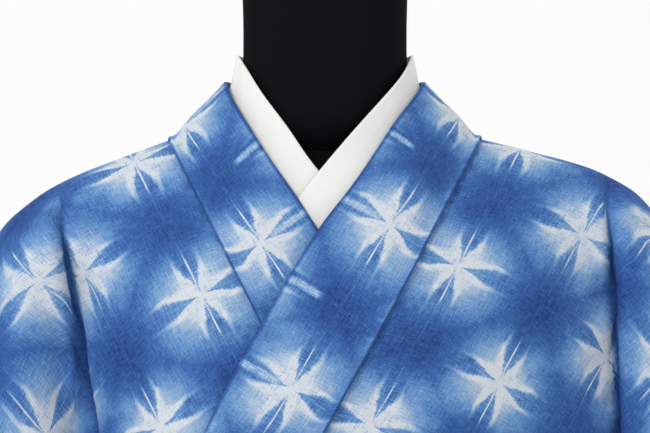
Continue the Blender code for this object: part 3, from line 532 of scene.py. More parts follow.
def skirt_row(side, face, z):
    """One row of a body panel below the waist."""
    start, end = 180.0 - CENTRE_ANGLE, 180.0 - SIDE_ANGLE
    if face < 0:
        start, end = read(WRAP, "overlap_seam", z), SIDE_ANGLE
    row = []
    for column in range(COLUMNS + 1):
        angle = lerp(start, end, column / COLUMNS)
        lift = fold_height(SIDES[side] * angle, z)
        if face < 0 and side == "right":
            lift *= smooth(*UNCOVERED, angle)
        if face < 0:
            lift += skirt_lift(side, angle, z)
        row.append(ring_point(SKIRT, SIDES[side] * angle, z, lift))
    return row


def body_rows(side, face):
    return upper_half(side, face) + [skirt_row(side, face, z) for z in SKIRT_HEIGHTS]


def overlap_rows(side, front):
    """Overlap panel between the collar and the body front, from its tip to the hem."""
    rows = []
    for number in range(TIP_ROW, len(front)):
        seam = front[number][0]
        towards = (front[number][1] - seam).normalized()
        start = seam - towards * SEAM
        row = []
        for column in range(OVERLAP_COLUMNS + 1):
            s = 1 - column / OVERLAP_COLUMNS
            if number < len(ROW_DROPS):
                reach = lerp(SIDES[side] * start.x, seam_reach(side, seam.z), s)
                row.append(chest_point(side, reach, seam.z))
            else:
                z = SKIRT_HEIGHTS[number - len(ROW_DROPS)]
                angle = lerp(read(WRAP, "overlap_seam", z), read(WRAP, "collar_seam", z), s)
                fold = fold_height(angle, z) if side == "left" else 0.0
                row.append(ring_point(SKIRT, SIDES[side] * angle, z,
                                      skirt_lift(side, angle, z) + fold))
        row[-1] = start
        rows.append(row)
    return rows


def walk(row, distance):
    """Point at a distance along a row of points, with the place it falls in."""
    for index, (a, b) in enumerate(zip(row, row[1:])):
        length = (b - a).length
        if distance <= length:
            return a.lerp(b, distance / length), index
        distance -= length
    return row[-1], len(row) - 1


def collar_bases(side, number):
    """Points of the collar's own surface at one row, from its seam to its free edge,
    and the lift of the layers below each."""
    points = []
    lifts = []
    if number < len(ROW_DROPS):
        z = NECK_POINT_Z - ROW_DROPS[number]
        seam = chest_point(side, seam_reach(side, z), z, RIDGE[side][0].y,
                           NECK_POINT_Z - z, lifted=False)
        inner_z = z + EDGE_RISE * smooth(*EDGE_RISE_HEIGHTS, z)
        inner_z += EDGE_NECK_RISE * smooth(EDGE_NECK_Z, NECK_POINT_Z, z)
        inner = chest_point(side, read(COLLAR_INNER, side, inner_z), inner_z, lifted=False)
        flat = 1.0 - smooth(*COLLAR_STANDS, z)
        for share in COLLAR_SHARES:
            ruled = seam.lerp(inner, share)
            reach = SIDES[side] * ruled.x
            lying = chest_point(side, reach, ruled.z, lifted=False)
            points.append(ruled.lerp(lying, flat))
            lifts.append(chest_lift(side, ruled.x, ruled.z))
        return points, lifts
    z = SKIRT_HEIGHTS[number - len(ROW_DROPS)]
    start = read(WRAP, "collar_seam", z)
    for share in COLLAR_SHARES:
        angle = start - COLLAR_ANGLE * share
        points.append(ring_point(SKIRT, SIDES[side] * angle, z))
        lifts.append(skirt_lift(side, angle, z))
    return points, lifts


def back_collar_bases(side, place):
    """The same, round the back of the neck."""
    seam = Path(BACK_NECK).at(place)
    top = Path(BACK_COLLAR_TOP).at(place)
    points = [seam.lerp(top, share) for share in COLLAR_SHARES]
    for point in points:
        point.x *= SIDES[side]
    return points, [0.0, 0.0, 0.0]


def white_top(side, number):
    """Free edge of the white collar beside a row of the front."""
    z = NECK_POINT_Z - ROW_DROPS[number]
    top_z = z + WHITE_RISE + WHITE_NECK_RISE * smooth(WHITE_NECK_Z, NECK_POINT_Z, z)
    reach = read(WHITE_INNER, side, top_z)
    return Vector((SIDES[side] * reach, read(WHITE_INNER, side + "_y", top_z), top_z))


def back_white_top(side, share):
    spot = Path(BACK_WHITE_TOP).at(share)
    return Vector((SIDES[side] * spot.x, spot.y, spot.z))


def grid_normals(grid, sign=1):
    return [[Vector(normal) * sign for normal in line] for line in fine_normals(as_array(grid))]


def make_bodies():
    """Both body panels. Returns the rows and normals that other pieces need."""
    made = {}
    for side in SIDES:
        front, back = body_rows(side, -1), body_rows(side, 1)
        normals = grid_normals(front[::-1] + back[1:], SIDES[side])
        front_normals = normals[:len(front)][::-1]
        back_normals = normals[len(front) - 1:]
        for ahead, behind in zip(front_normals[len(ROW_DROPS):], back_normals[len(ROW_DROPS):]):
            ahead[-1] = behind[-1] = (ahead[-1] + behind[-1]).normalized()
        for line in back_normals[BACK_NECK_ROWS:]:
            line[0] = Vector((0, *line[0].yz)).normalized()
        made[side] = (front, back, front_normals, back_normals)
    return made


def make_overlaps(bodies):
    made = {}
    for side in SIDES:
        front, _, front_normals, _ = bodies[side]
        rows = overlap_rows(side, front)
        normals = grid_normals(rows, -SIDES[side])
        for offset, line in enumerate(normals):
            line[-1] = front_normals[TIP_ROW + offset][0]
        made[side] = (rows, normals)
    return made


def sewn_start(side, number, bodies, overlaps):
    """The two collar points over the panel: at its lap and at the panel's edge."""
    front, _, front_normals, _ = bodies[side]
    row = list(front[number])
    lines = list(front_normals[number])
    if number >= TIP_ROW:
        rows, normals = overlaps[side]
        row = rows[number - TIP_ROW] + row[1:]
        lines = normals[number - TIP_ROW] + lines[1:]
    lap, index = walk(row, COLLAR_LAP)
    return (lap + lines[index] * LAP_LIFT, row[0] + lines[0] * COLLAR_LIFT)


def collar_grids(bodies, overlaps):
    """The long collar and the white collar inside it, each one band."""
    stations = []
    for side in SIDES:
        front, back, _, back_normals = bodies[side]
        line = []
        for number in range(len(ROW_DROPS) + COLLAR_SKIRT_ROWS):
            points, lifts = collar_bases(side, number)
            sewn = sewn_start(side, number, bodies, overlaps)
            top = white_top(side, number) if number <= WHITE_LAST_ROW else None
            line.append((sewn, points, lifts, top))
        line = line[::-1]
        for number in range(1, BACK_NECK_ROWS + 1):
            share = number / BACK_NECK_ROWS
            points, lifts = back_collar_bases(side, share)
            edge = back[number][0].copy()
            below = back[number + 1][1 if number < BACK_NECK_ROWS else 0]
            lap = edge + (below - edge).normalized() * COLLAR_LAP
            if number == BACK_NECK_ROWS:
                edge.x = lap.x = 0.0
                points = [Vector((0, *point.yz)) for point in points]
            normal = back_normals[number][0]
            sewn = (lap + normal * BACK_LAP_LIFT, edge + normal * BACK_EDGE_LIFT)
            line.append((sewn, points, lifts, back_white_top(side, share)))
        stations.append(line)
    stations = stations[0] + stations[1][::-1][1:]
    bases = [[station[0][1], *station[1]] for station in stations]
    base_normals = grid_normals(bases, -1)
    lengths = (COLLAR_LIFT, lerp(COLLAR_LIFT, COLLAR_EDGE_LIFT, HALFWAY_LIFT), COLLAR_EDGE_LIFT)
    grid = []
    white = []
    half = len(stations) // 2
    for number, (sewn, points, lifts, top) in enumerate(stations):
        row = list(sewn)
        for j, (point, lift, own) in enumerate(zip(points, lifts, lengths)):
            ease = WAIST_EASE if OBI_BOTTOM < point.z < OBI_TOP else 0.0
            row.append(point + base_normals[number][j + 1] * (lift + own + ease))
        grid.append(row)
        if top is not None:
            side = "left" if number <= half else "right"
            depth = WHITE_DEPTH[side]
            depth = lerp(WHITE_DEPTH["left"], depth, smooth(*WHITE_CHANGE, abs(number - half)))
            inner = [point - base_normals[number][j + 1] * depth for j, point in enumerate(points)]
            white.append(inner + [lerp(inner[-1], top, 0.5), top])
    return grid, white


def sleeve_face(side, edge_rows, face):
    """Rows of one face of a sleeve, from its top fold to its sewn bottom."""
    ends = [Spot(abs(edge_rows[-1].x), abs(edge_rows[-1].y), edge_rows[-1].z), *FREE_EDGE]
    free = Path(ends)
    inner = [Vector((abs(point.x), abs(point.y), point.z)) for point in edge_rows]
    inner += [free.at((i + 1) / SLEEVE_FREE_ROWS) for i in range(SLEEVE_FREE_ROWS)]
    lengths = lengths_along(as_array([[point] for point in inner]), 0)[:, 0]
    top_path, low_path, cuff = Path(SLEEVE_TOP), Path(SLEEVE_BOTTOM), Path(CUFF_EDGE)
    corners = (Vector(SLEEVE_TOP[0]), Vector(SLEEVE_TOP[-1]),
               Vector(SLEEVE_BOTTOM[0]), Vector(SLEEVE_BOTTOM[-1]))
    rows = []
    for start, t in zip(inner, lengths / lengths[-1]):
        row = []
        for column in range(SLEEVE_COLUMNS + 1):
            s = column / SLEEVE_COLUMNS
            point = coons(top_path.at(s), low_path.at(s), start, cuff.at(t), corners, s, t)
            rise = math.sin(math.pi * s) * math.sin(math.pi * t) ** SLEEVE_FULLNESS
            point.y = max(SLEEVE_HALF_GAP, point.y) if t > 0 else 0.0
            point.y += SLEEVE_BULGE * rise
            for fold in SLEEVE_FOLDS:
                apart = (s - fold.place - SLEEVE_FOLD_LEAN * (t - 0.5)) / fold.width
                point.y += fold.depth * math.exp(-apart * apart) * rise
            row.append(Vector((SIDES[side] * point.x, face * point.y, point.z)))
        rows.append(row)
    return rows


def sleeve_grid(side, body):
    """Both faces of a sleeve as one grid, sewn to the body's edge."""
    faces = []
    for rows, face in ((body[0], -1), (body[1], 1)):
        edge = [row[-1] for row in rows[:TIP_ROW + 1]]
        face_rows = sleeve_face(side, edge, face)
        for own, point in zip(face_rows, edge):
            own[0] = point + (own[1] - point).normalized() * SLEEVE_SEAM
        faces.append(face_rows)
    return faces[0][::-1] + faces[1][1:]


def bowed(wave, power):
    """A sine or cosine with its rounded ends squared off."""
    return np.sign(wave) * np.abs(wave) ** power


def obi_grid():
    """The belt round the waist."""
    angles = [-180 + 360 * j / OBI_COLUMNS for j in range(OBI_COLUMNS)]
    return [[ring_point(SKIRT, angle, z, read(OBI_LIFT, "lift", angle)) for angle in angles]
            for z in np.linspace(OBI_BOTTOM, OBI_TOP, OBI_ROWS)]


def bow_grid():
    """Both loops of the bow behind, as one flattened ring pinched in the middle."""
    turn = turns(BOW_COLUMNS)
    share = np.linspace(-1, 1, BOW_ROWS)[:, None]
    x = BOW_REACH * np.cos(turn)
    out = (x / BOW_REACH) ** 2
    spread = smooth(0.0, BOW_SPREAD, np.abs(x))
    half_depth = (BOW_PINCH_DEPTH + BOW_LOOP_DEPTH * spread) * bowed(np.sin(turn), BOW_SQUARE)
    y = read(SKIRT, "back", BOW_Z) + BOW_BEHIND + half_depth - BOW_SWEEP * out
    z = BOW_Z + share * lerp(BOW_PINCH, BOW_HALF_HEIGHT, spread) - BOW_DROOP * out
    return np.stack(np.broadcast_arrays(x, y, z), 2)


def knot_grid():
    """The band that holds the bow's middle."""
    turn = turns(KNOT_COLUMNS)
    share = np.linspace(0, 1, KNOT_ROWS)[:, None]
    swell = KNOT_SWELL * np.sin(math.pi * share)
    x = lerp(-KNOT_HALF_WIDTH, KNOT_HALF_WIDTH, share)
    depth = (KNOT_HALF_DEPTH + swell) * bowed(np.cos(turn), KNOT_SQUARE)
    y = read(SKIRT, "back", BOW_Z) + KNOT_BEHIND + depth
    z = BOW_Z + (KNOT_HALF_HEIGHT + swell) * bowed(np.sin(turn), KNOT_SQUARE)
    return np.stack(np.broadcast_arrays(x, y, z), 2)


def new_piece(name, mesh, material):
    """Object of a mesh with its faces turned outwards, riding on the one body."""
    work = bmesh.new()
    work.from_mesh(mesh)
    bmesh.ops.recalc_face_normals(work, faces=work.faces)
    work.to_mesh(mesh)
    work.free()
    mesh.shade_smooth()
    mesh.materials.append(material)
    piece = bpy.data.objects.new(name, mesh)
    bpy.context.scene.collection.objects.link(piece)
    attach(piece, "root")
    return piece


def shell(name, points, places, material, outside, inside, flip=False, closed=False):
    """Thin closed shell on a grid, from `inside` to `outside` metres along its normals.
    places holds each point's cloth coordinates."""
    normals = fine_normals(points, closed) * (-1.0 if flip else 1.0)
    rows, columns = points.shape[:2]
    skins = [points + normals * lift for lift in (outside, inside)]
    vertices = [skin.reshape(-1, 3) for skin in skins]
    cloth = [places.reshape(-1, 3)] * 2
    index = np.arange(rows * columns).reshape(rows, columns)
    here = np.concatenate((index, index[:, :1]), 1) if closed else index
    outer = np.stack((here[:-1, :-1], here[:-1, 1:], here[1:, 1:], here[1:, :-1]), 2).reshape(-1, 4)
    back = outer[:, ::-1]
    faces = [back, outer + rows * columns] if flip else [outer, back + rows * columns]
    rims = [index[0], index[-1]]
    if not closed:
        rims = [np.concatenate((index[0], index[1:, -1], index[-1, -2::-1], index[-2:0:-1, 0]))]
    base = 2 * rows * columns
    for edge in rims:
        i, j = np.divmod(edge, columns)
        within = np.clip(i, 1, rows - 2), j if closed else np.clip(j, 1, columns - 2)
        away = points[i, j] - points[within]
        away /= np.maximum(np.linalg.norm(away, axis=1, keepdims=True), 1e-12)
        middle = (skins[0][i, j] + skins[1][i, j]) / 2
        vertices.append(middle + away * (outside - inside) / 2 * RIM_BULGE)
        cloth.append(places[i, j])
        rim = base + np.arange(len(edge))
        far = edge + rows * columns
        following, rim_next, far_next = (np.roll(line, -1) for line in (edge, rim, far))
        faces.append(np.stack((edge, rim, rim_next, following), 1))
        faces.append(np.stack((rim, far, far_next, rim_next), 1))
        base += len(edge)
    mesh = bpy.data.meshes.new(name)
    mesh.from_pydata(np.concatenate(vertices).tolist(), [], np.concatenate(faces).tolist())
    held = mesh.attributes.new("cloth", "FLOAT_VECTOR", "POINT")
    held.data.foreach_set("vector", np.concatenate(cloth).astype(np.float32).ravel())
    return new_piece(name, mesh, material)


def put(node, values):
    """Set inputs of a node. A field is linked to its input."""
    for place, value in values.items():
        if isinstance(value, Field):
            node.id_data.links.new(value.socket, node.inputs[place])
        else:
            node.inputs[place].default_value = value


class Field:
    """A number at each point of a surface, worked out by Math nodes."""

    def __init__(self, tree, socket):
        self.tree = tree
        self.socket = socket

    def math(self, operation, *others):
        node = self.tree.nodes.new("ShaderNodeMath")
        node.operation = operation
        put(node, dict(enumerate((self, *others))))
        return Field(self.tree, node.outputs[0])

    def __add__(self, other):
        return self.math("ADD", other)

    def __sub__(self, other):
        return self.math("SUBTRACT", other)

    def __mul__(self, other):
        return self.math("MULTIPLY", other)

    def __truediv__(self, other):
        return self.math("DIVIDE", other)

    def size(self):
        return self.math("ABSOLUTE")

    def least(self, other):
        return self.math("MINIMUM", other)

    def most(self, other):
        return self.math("MAXIMUM", other)

    def ramp(self, low, high, start=0.0, end=1.0):
        node = self.tree.nodes.new("ShaderNodeMapRange")
        node.interpolation_type = "SMOOTHSTEP"
        put(node, dict(enumerate((self, low, high, start, end))))
        return Field(self.tree, node.outputs[0])

    def bump(self, width):
        """1 where the field is 0, falling away over a width."""
        return (self / width).math("POWER", 2.0).ramp(0.0, 1.0, 1.0, 0.0)

    def mix(self, other, share):
        """This field where share is 0, the other where it is 1."""
        return (self - other) * (share.math("MULTIPLY", -1.0) + 1.0) + other


def colour_ramp(field, stops):
    node = field.tree.nodes.new("ShaderNodeValToRGB")
    node.color_ramp.interpolation = "LINEAR"
    elements = node.color_ramp.elements
    while len(elements) < len(stops):
        elements.new(0.5)
    for element, (place, colour) in zip(elements, stops):
        element.position = place
        element.color = (*linear(colour), 1.0)
    field.tree.links.new(field.socket, node.inputs[0])
    return node.outputs[0]


def linear(colour):
    """Colour from 0..255 screen values."""
    shares = [value / 255 for value in colour]
    return [s / 12.92 if s <= 0.04045 else ((s + 0.055) / 1.055) ** 2.4 for s in shares]


class Cloth:
    """A new material with the cloth coordinates of its surface as two fields, and a third field of
    painted shade.
    """

    def __init__(self, name, roughness, sheen=0.0, specular=0.12):
        self.material = bpy.data.materials.new(name)
        self.material.use_nodes = True
        self.tree = self.material.node_tree
        self.shader = self.tree.nodes["Principled BSDF"]
        put(self.shader, {"Roughness": roughness, "Sheen Weight": sheen, "Sheen Roughness": 0.5,
                          "Specular IOR Level": specular})
        held = self.tree.nodes.new("ShaderNodeAttribute")
        held.attribute_name = "cloth"
        split = self.tree.nodes.new("ShaderNodeSeparateXYZ")
        self.tree.links.new(held.outputs["Vector"], split.inputs[0])
        self.across = Field(self.tree, split.outputs[0])
        self.along = Field(self.tree, split.outputs[1])
        self.painted_shade = Field(self.tree, split.outputs[2])

    def noise(self, across_size, along_size, detail=2.0, layer=0.0, places=None):
        """Noise from 0 to 1 whose grains have these sizes in metres."""
        across, along = places or (self.across, self.along)
        join = self.tree.nodes.new("ShaderNodeCombineXYZ")
        put(join, {0: across / across_size, 1: along / along_size, 2: layer})
        node = self.tree.nodes.new("ShaderNodeTexNoise")
        put(node, {"Scale": 1.0, "Detail": detail})
        self.tree.links.new(join.outputs[0], node.inputs["Vector"])
        return Field(self.tree, node.outputs[0])

    def wave(self, field, period):
        return (field * (2 * math.pi / period)).math("SINE")

    def colour(self, socket):
        self.tree.links.new(socket, self.shader.inputs["Base Color"])

    def relief(self, height, depth, strength=1.0):
        """Bump from a height field, where 1 stands for a depth in metres."""
        node = self.tree.nodes.new("ShaderNodeBump")
        put(node, {"Strength": strength, "Distance": depth, "Height": height})
        self.tree.links.new(node.outputs[0], self.shader.inputs["Normal"])


# Dyed stars: they sit on a square lattice turned by 45 degrees to the threads
STAR_COLUMN = 0.38 / 6
INDIGO = ((0.00, (22, 40, 88)), (0.14, (36, 64, 122)), (0.34, (52, 90, 150)),
          (0.55, (90, 131, 178)), (0.76, (146, 167, 190)), (0.97, (188, 193, 199)))


def indigo_cotton(name, bars=False):
    cloth = Cloth(name, 0.88)
    u = cloth.across + (cloth.noise(0.060, 0.060, 1.0, 3.0) - 0.5) * 0.003
    v = cloth.along + (cloth.noise(0.060, 0.060, 1.0, 9.0) - 0.5) * 0.003
    p = (u + v) / (2 * STAR_COLUMN)
    q = (v - u) / (2 * STAR_COLUMN)
    whole_p = p.math("ROUND")
    whole_q = q.math("ROUND")
    p = p - whole_p
    q = q - whole_q
    a = (p - q) * STAR_COLUMN
    b = (p + q) * STAR_COLUMN
    own = cloth.noise(1.0, 1.0, 0.0, 5.0, (whole_p * 0.731, whole_q * 0.577))
    radius = (a * a + b * b).math("SQRT")
    narrow = a.size().least(b.size())
    wide = a.size().most(b.size())
    turn = narrow.math("ARCTAN2", wide)
    patch = cloth.noise(0.022, 0.022, 1.0, 6.0) - 0.5

    warp_streak = cloth.noise(0.0009, 0.0090, 2.0, 1.0)
    weft_streak = cloth.noise(0.0070, 0.0009, 2.0, 2.0)
    fleck = cloth.noise(0.0011, 0.0011, 1.0, 8.0)
    cloud = cloth.noise(0.006, 0.006, 3.0, 4.0)
    threads = warp_streak + weft_streak + fleck * 0.6 - 1.3
    fray = threads * 0.010 + (cloud - 0.5) * 0.010 + patch * 0.020
    reach = radius + fray * radius.ramp(0.004, 0.026) + (own - 0.5) * 0.014

    # Leaves lie on the threads' axes, with a bright prong along each side of them
    leaf_half = wide.ramp(0.003, 0.026, 0.0, 0.0053)
    edge = narrow + threads * 0.0006 + (cloud - 0.5) * 0.0016 - leaf_half
    prong = (edge.most(0.0) / reach.ramp(0.008, 0.036, 0.0100, 0.0040)).bump(1.0)
    prong = prong * reach.ramp(0.020, 0.045, 1.0, 0.0)
    fill = reach.ramp(-0.002, 0.031, 1.0, 0.0)
    star = prong.mix(1.0, fill)
    shut = radius.ramp(0.002, 0.006, 1.0, 0.0).most(radius.ramp(0.008, 0.024, 0.30, 0.05))
    soft = wide.ramp(0.004, 0.030, 0.0011, 0.0042)
    star = star * shut.most(edge.ramp(-0.0004, soft))
    halo = reach.ramp(0.018, 0.067, 0.47, 0.0) * turn.ramp(0.05, 0.50, 0.46, 1.0)

    uneven = cloud * 1.0 + (own - 0.5) * 1.6 + 0.45
    warp_line = a.bump(0.0008) * b.size().ramp(0.024, 0.038, 1.0, 0.10)
    weft_line = b.bump(0.0010) * a.size().ramp(0.014, 0.030, 0.34, 0.05)
    diagonal = (a.size() - b.size()).bump(0.003) * radius.ramp(0.034, 0.052, 0.0, 0.08)
    marks = warp_line.most(weft_line).most(diagonal) * uneven.ramp(0.0, 1.0)
    if bars:
        bar = b.bump(0.0036) * cloth.across.ramp(0.001, 0.010, 0.0, 0.68)
        bar = bar * a.size().ramp(0.044, 0.052, 1.0, 0.0)
        marks = marks.most(bar * (cloud * 0.3 + 0.78))
    ground = cloth.noise(0.045, 0.045, 2.0, 7.0) * 0.34 + cloud * 0.12 + halo - 0.06
    white = (own - 0.5) * 0.4 + (cloud - 0.5) * 0.3 + threads * 0.8 + 1.01
    shade = (ground + threads * 0.48).mix(white, star.most(marks * 0.9))
    # Painted shade: the colour is darkened in crease valleys and along the collar's edges, standing
    # in for the shade that falls there
    shade = shade * cloth.painted_shade.ramp(0.2, 1.0, 1.0, 0.40)
    cloth.colour(colour_ramp(shade, INDIGO))
    slub = cloth.noise(0.0010, 0.0090, 2.0, 11.0) + cloth.noise(0.0070, 0.0010, 2.0, 12.0)
    crush = cloth.noise(0.012, 0.007, 3.0, 13.0)
    weave = cloth.wave(cloth.across, 0.0011) * cloth.wave(cloth.along, 0.0011)
    cloth.relief(slub * 0.7 + crush * 0.9 + weave * 0.12, 0.0009, 0.7)
    return cloth.material


def white_cotton():
    cloth = Cloth("white_cotton", 0.80, sheen=0.10)
    tone = cloth.noise(0.0008, 0.012, 2.0, 1.0) * 0.6 + cloth.noise(0.03, 0.03, 1.0, 2.0) * 0.4
    cloth.colour(colour_ramp(tone, ((0.2, (205, 205, 201)), (0.8, (214, 214, 211)))))
    weave = cloth.wave(cloth.across, 0.0008) * cloth.wave(cloth.along, 0.0008)
    cloth.relief(tone + weave * 0.15, 0.0003, 0.5)
    return cloth.material


def sash_cloth():
    cloth = Cloth("sash_cloth", 0.70, sheen=0.04)
    rib = cloth.wave(cloth.along, 0.0021)
    fleck = cloth.noise(0.0010, 0.010, 2.0, 1.0)
    stripe = cloth.along.math("PINGPONG", 0.0375)
    line = (stripe - 0.0255).bump(0.0012).most((stripe - 0.0315).bump(0.0024))
    tone = (fleck - 0.5) * 0.25 + rib * 0.02 + 0.30 + line * 0.45
    stops = ((0.1, (17, 27, 54)), (0.5, (34, 50, 92)), (0.9, (128, 146, 184)))
    cloth.colour(colour_ramp(tone, stops))
    cloth.relief(rib * 0.5 + fleck * 0.5, 0.0005, 0.7)
    return cloth.material


def form_jersey():
    cloth = Cloth("form_jersey", 0.95, specular=0.03)
    stitch = cloth.wave(cloth.across, 0.0013) * cloth.wave(cloth.along, 0.0010)
    fuzz = cloth.noise(0.0015, 0.0015, 3.0, 1.0)
    cloth.colour(colour_ramp(fuzz + stitch * 0.05, ((0.35, (5, 5, 6)), (0.65, (22, 22, 26)))))
    cloth.relief(stitch * 0.4 + fuzz * 0.6, 0.0003, 0.6)
    return cloth.material


def coated_metal():
    """Powder-coated steel. Its grain is in the object's own place, not in cloth lengths."""
    cloth = Cloth("coated_metal", 0.45)
    where = cloth.tree.nodes.new("ShaderNodeTexCoord")
    grain = cloth.tree.nodes.new("ShaderNodeTexNoise")
    put(grain, {"Scale": 900.0, "Detail": 3.0})
    cloth.tree.links.new(where.outputs["Object"], grain.inputs["Vector"])
    field = Field(cloth.tree, grain.outputs[0])
    cloth.colour(colour_ramp(field, ((0.3, (28, 28, 30)), (0.7, (44, 44, 47)))))
    put(cloth.shader, {"Roughness": field.ramp(0.2, 0.8, 0.38, 0.55)})
    cloth.relief(field, 0.0002, 0.5)
    return cloth.material


# The thin shell: how far its two faces stand from the middle of the solid's wall, and
# how far its rounded rim stands out, as a share of half its thickness
WALLS = (WALL / 2, -0.0003)
RIM_BULGE = 0.8
# Finer steps along and across each rough step of a grid
BODY_STEPS = (4, 15)
OVERLAP_STEPS = (6, 8)
COLLAR_STEPS = (6, 6)
SLEEVE_STEPS = (5, 6)
# Rounds of evening out: a body's cloth lengths, the collar's lap and its whole surface
ACROSS_ROUNDS = 20
ALONG_ROUNDS = 60
LAP_ROUNDS = 4
COLLAR_ROUNDS = 12
# The print turns level over these lengths on the back, and heights on the front
LEVEL_BACK = (0.03, 0.30)
LEVEL_FRONT = (1.10, 0.95)

# Where the dyed stars lie on each piece: a place in its cloth lengths that holds a star,
# the print's scale both ways, and how far it turns for each metre along from TURN_FROM
Print = namedtuple("Print", "across along scale_across scale_along turn")
TURN_FROM = 0.1
PRINTS = {
    "body_left": Print(0.0336, -0.0065, 0.93, -1.0, 0.0),
    "body_right": Print(0.0343, -0.0235, 0.86, -1.0, 0.0),
    "overlap_left": Print(0.030, 0.0, 1.0, 1.0, 0.0),
    "overlap_right": Print(0.030, 0.0, 1.0, 1.0, 0.0),
    "collar_left": Print(0.0260, 0.148, 1.0, 1.0, -0.05),
    "collar_right": Print(0.0220, 0.151, 1.0, 1.0, -0.078),
    "sleeve_left": Print(0.030, 0.0, 1.0, 1.0, 0.0),
    "sleeve_right": Print(0.030, 0.0, 1.0, 1.0, 0.0),
}
# Small local shifts of the print, where the cloth has been pulled
Nudge = namedtuple("Nudge", "piece across along shift_across shift_along radius")
NUDGES = table(Nudge,
    ("collar_left", 0.0, 0.085, 0.0, 0.013, 0.05),
    ("body_right", 0.127, 0.145, 0.0, -0.018, 0.05))

# Depth of a crease at which the painted shade in its valley is full
VALLEY_DEPTH = 0.009
# Creases mark only cloth whose normal has a y below this
FRONT_FACING = 0.25
# Soft creases of the front, drawn as seen from there: a line of places across and up,
# the half width and the depth. A positive depth stands out.
Crease = namedtuple("Crease", "line width depth")
CREASES = table(Crease,
    (((0.190, 1.296), (0.192, 1.262), (0.194, 1.221), (0.195, 1.182), (0.1965, 1.1315),
    (0.197, 1.040)), 0.0028, -0.0090),
    (((0.199, 1.290), (0.202, 1.255), (0.204, 1.205), (0.206, 1.131), (0.206, 1.050)), 0.0060,
    0.0040),
    (((-0.179, 1.292), (-0.180, 1.277), (-0.175, 1.253), (-0.170, 1.227), (-0.1645, 1.193),
    (-0.160, 1.153), (-0.1565, 1.1315), (-0.155, 1.050)), 0.0028, -0.0090),
    (((-0.190, 1.285), (-0.184, 1.240), (-0.1745, 1.193), (-0.168, 1.131)), 0.0060, 0.0040),
    (((0.130, 1.312), (0.158, 1.292), (0.176, 1.262)), 0.0110, -0.0016),
    (((0.090, 1.290), (0.135, 1.262), (0.168, 1.215), (0.176, 1.160)), 0.0160, 0.0022),
    (((0.060, 1.215), (0.110, 1.190), (0.165, 1.130)), 0.0120, -0.0014),
    (((0.075, 1.140), (0.110, 1.110), (0.150, 1.055)), 0.0100, 0.0018),
    (((0.020, 1.120), (0.060, 1.085), (0.100, 1.042)), 0.0080, 0.0014),
    (((-0.105, 1.305), (-0.140, 1.285), (-0.162, 1.255)), 0.0110, -0.0016),
    (((-0.080, 1.275), (-0.120, 1.245), (-0.148, 1.200), (-0.155, 1.150)), 0.0150, 0.0022),
    (((-0.050, 1.200), (-0.090, 1.175), (-0.140, 1.120)), 0.0110, -0.0013),
    (((-0.075, 1.130), (-0.105, 1.100), (-0.140, 1.050)), 0.0100, 0.0018),
    (((0.222, 1.250), (0.236, 1.200), (0.236, 1.150)), 0.0080, -0.0022),
    (((-0.215, 1.245), (-0.226, 1.195), (-0.222, 1.140)), 0.0080, -0.0022))


def cloth_places(across, along, painted_shade=0.0):
    return np.stack(np.broadcast_arrays(across, along, painted_shade), 2)


def printed(name, across, along, painted_shade=0.0):
    """Cloth coordinates counted from a star of the print, and the painted shade of fold valleys."""
    place = PRINTS[name]
    v = place.scale_along * (along - place.along)
    u = place.scale_across * (across - place.across) + place.turn * (v - TURN_FROM)
    for nudge in NUDGES:
        if nudge.piece == name:
            apart = (u - nudge.across) ** 2 + (v - nudge.along) ** 2
            near = np.exp(-apart / nudge.radius ** 2)
            u = u + nudge.shift_across * near
            v = v + nudge.shift_along * near
    return cloth_places(u, v, painted_shade)


def creased(points, normals, creases):
    """Points moved along their normals by the creases of the side that they face, and how far into
    a valley each one is, from 0 to 1, which sets the painted shade there."""
    flat = points[:, :, [0, 2]]
    painted_shade = np.zeros(flat.shape[:2])
    for crease in creases:
        line = np.array(crease.line)
        spans = np.linalg.norm(np.diff(line, axis=0), axis=1)
        run = np.concatenate(((0.0,), np.cumsum(spans)))
        nearest = np.full(flat.shape[:2], np.inf)
        share = np.zeros(flat.shape[:2])
        for start, end, span, before in zip(line, line[1:], spans, run):
            along = np.clip((flat - start) @ (end - start) / span ** 2, 0.0, 1.0)
            apart = np.linalg.norm(flat - start - along[:, :, None] * (end - start), axis=2)
            closer = apart < nearest
            nearest = np.where(closer, apart, nearest)
            share = np.where(closer, (before + along * span) / run[-1], share)
        fade = np.clip(np.sin(np.pi * np.clip(share, 0.0, 1.0)) * 2.0, 0.0, 1.0)
        height = np.exp(-(nearest / crease.width) ** 2) * fade * crease.depth
        height = np.where(normals[:, :, 1] < FRONT_FACING, height, 0.0)
        points = points + normals * height[:, :, None]
        # Painted shade: the deeper into a valley, the darker the cloth is painted, on top of the
        # real crease
        painted_shade = np.maximum(painted_shade, -height / VALLEY_DEPTH)
    return points, painted_shade


def softened(points, rounds, axis=0):
    """Points evened out along an axis, with the ends held."""
    points = np.moveaxis(points.copy(), axis, 0)
    for _ in range(rounds):
        points[1:-1] = (points[:-2] + 2 * points[1:-1] + points[2:]) / 4
    return np.moveaxis(points, 0, axis)


def finer(rough, across, along, steps, closed=False):
    """Refined points of a rough grid, and the same of its cloth lengths."""
    both = np.concatenate((rough, across[:, :, None], along[:, :, None]), 2)
    if closed:
        extra = both[:, :1].copy()
        fine = refine(both[:, :, :3], steps[1], 1, closed=True)
        lengths = refine(np.concatenate((both[:, :, 3:], extra[:, :, 3:]), 1), steps[1], 1)[:, :-1]
        both = np.concatenate((fine, lengths), 2)
    else:
        both = refine(both, steps[1], 1)
    both = refine(both, steps[0], 0)
    return both[:, :, :3], both[:, :, 3], both[:, :, 4]


def dress(node, points, places, material, walls, area,
          flip=False, closed=False):
    """Cloth in place of a solid, whose own part is hidden."""
    piece = shell("cloth_" + node, points, places, material, *walls, flip, closed)
    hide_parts(node)


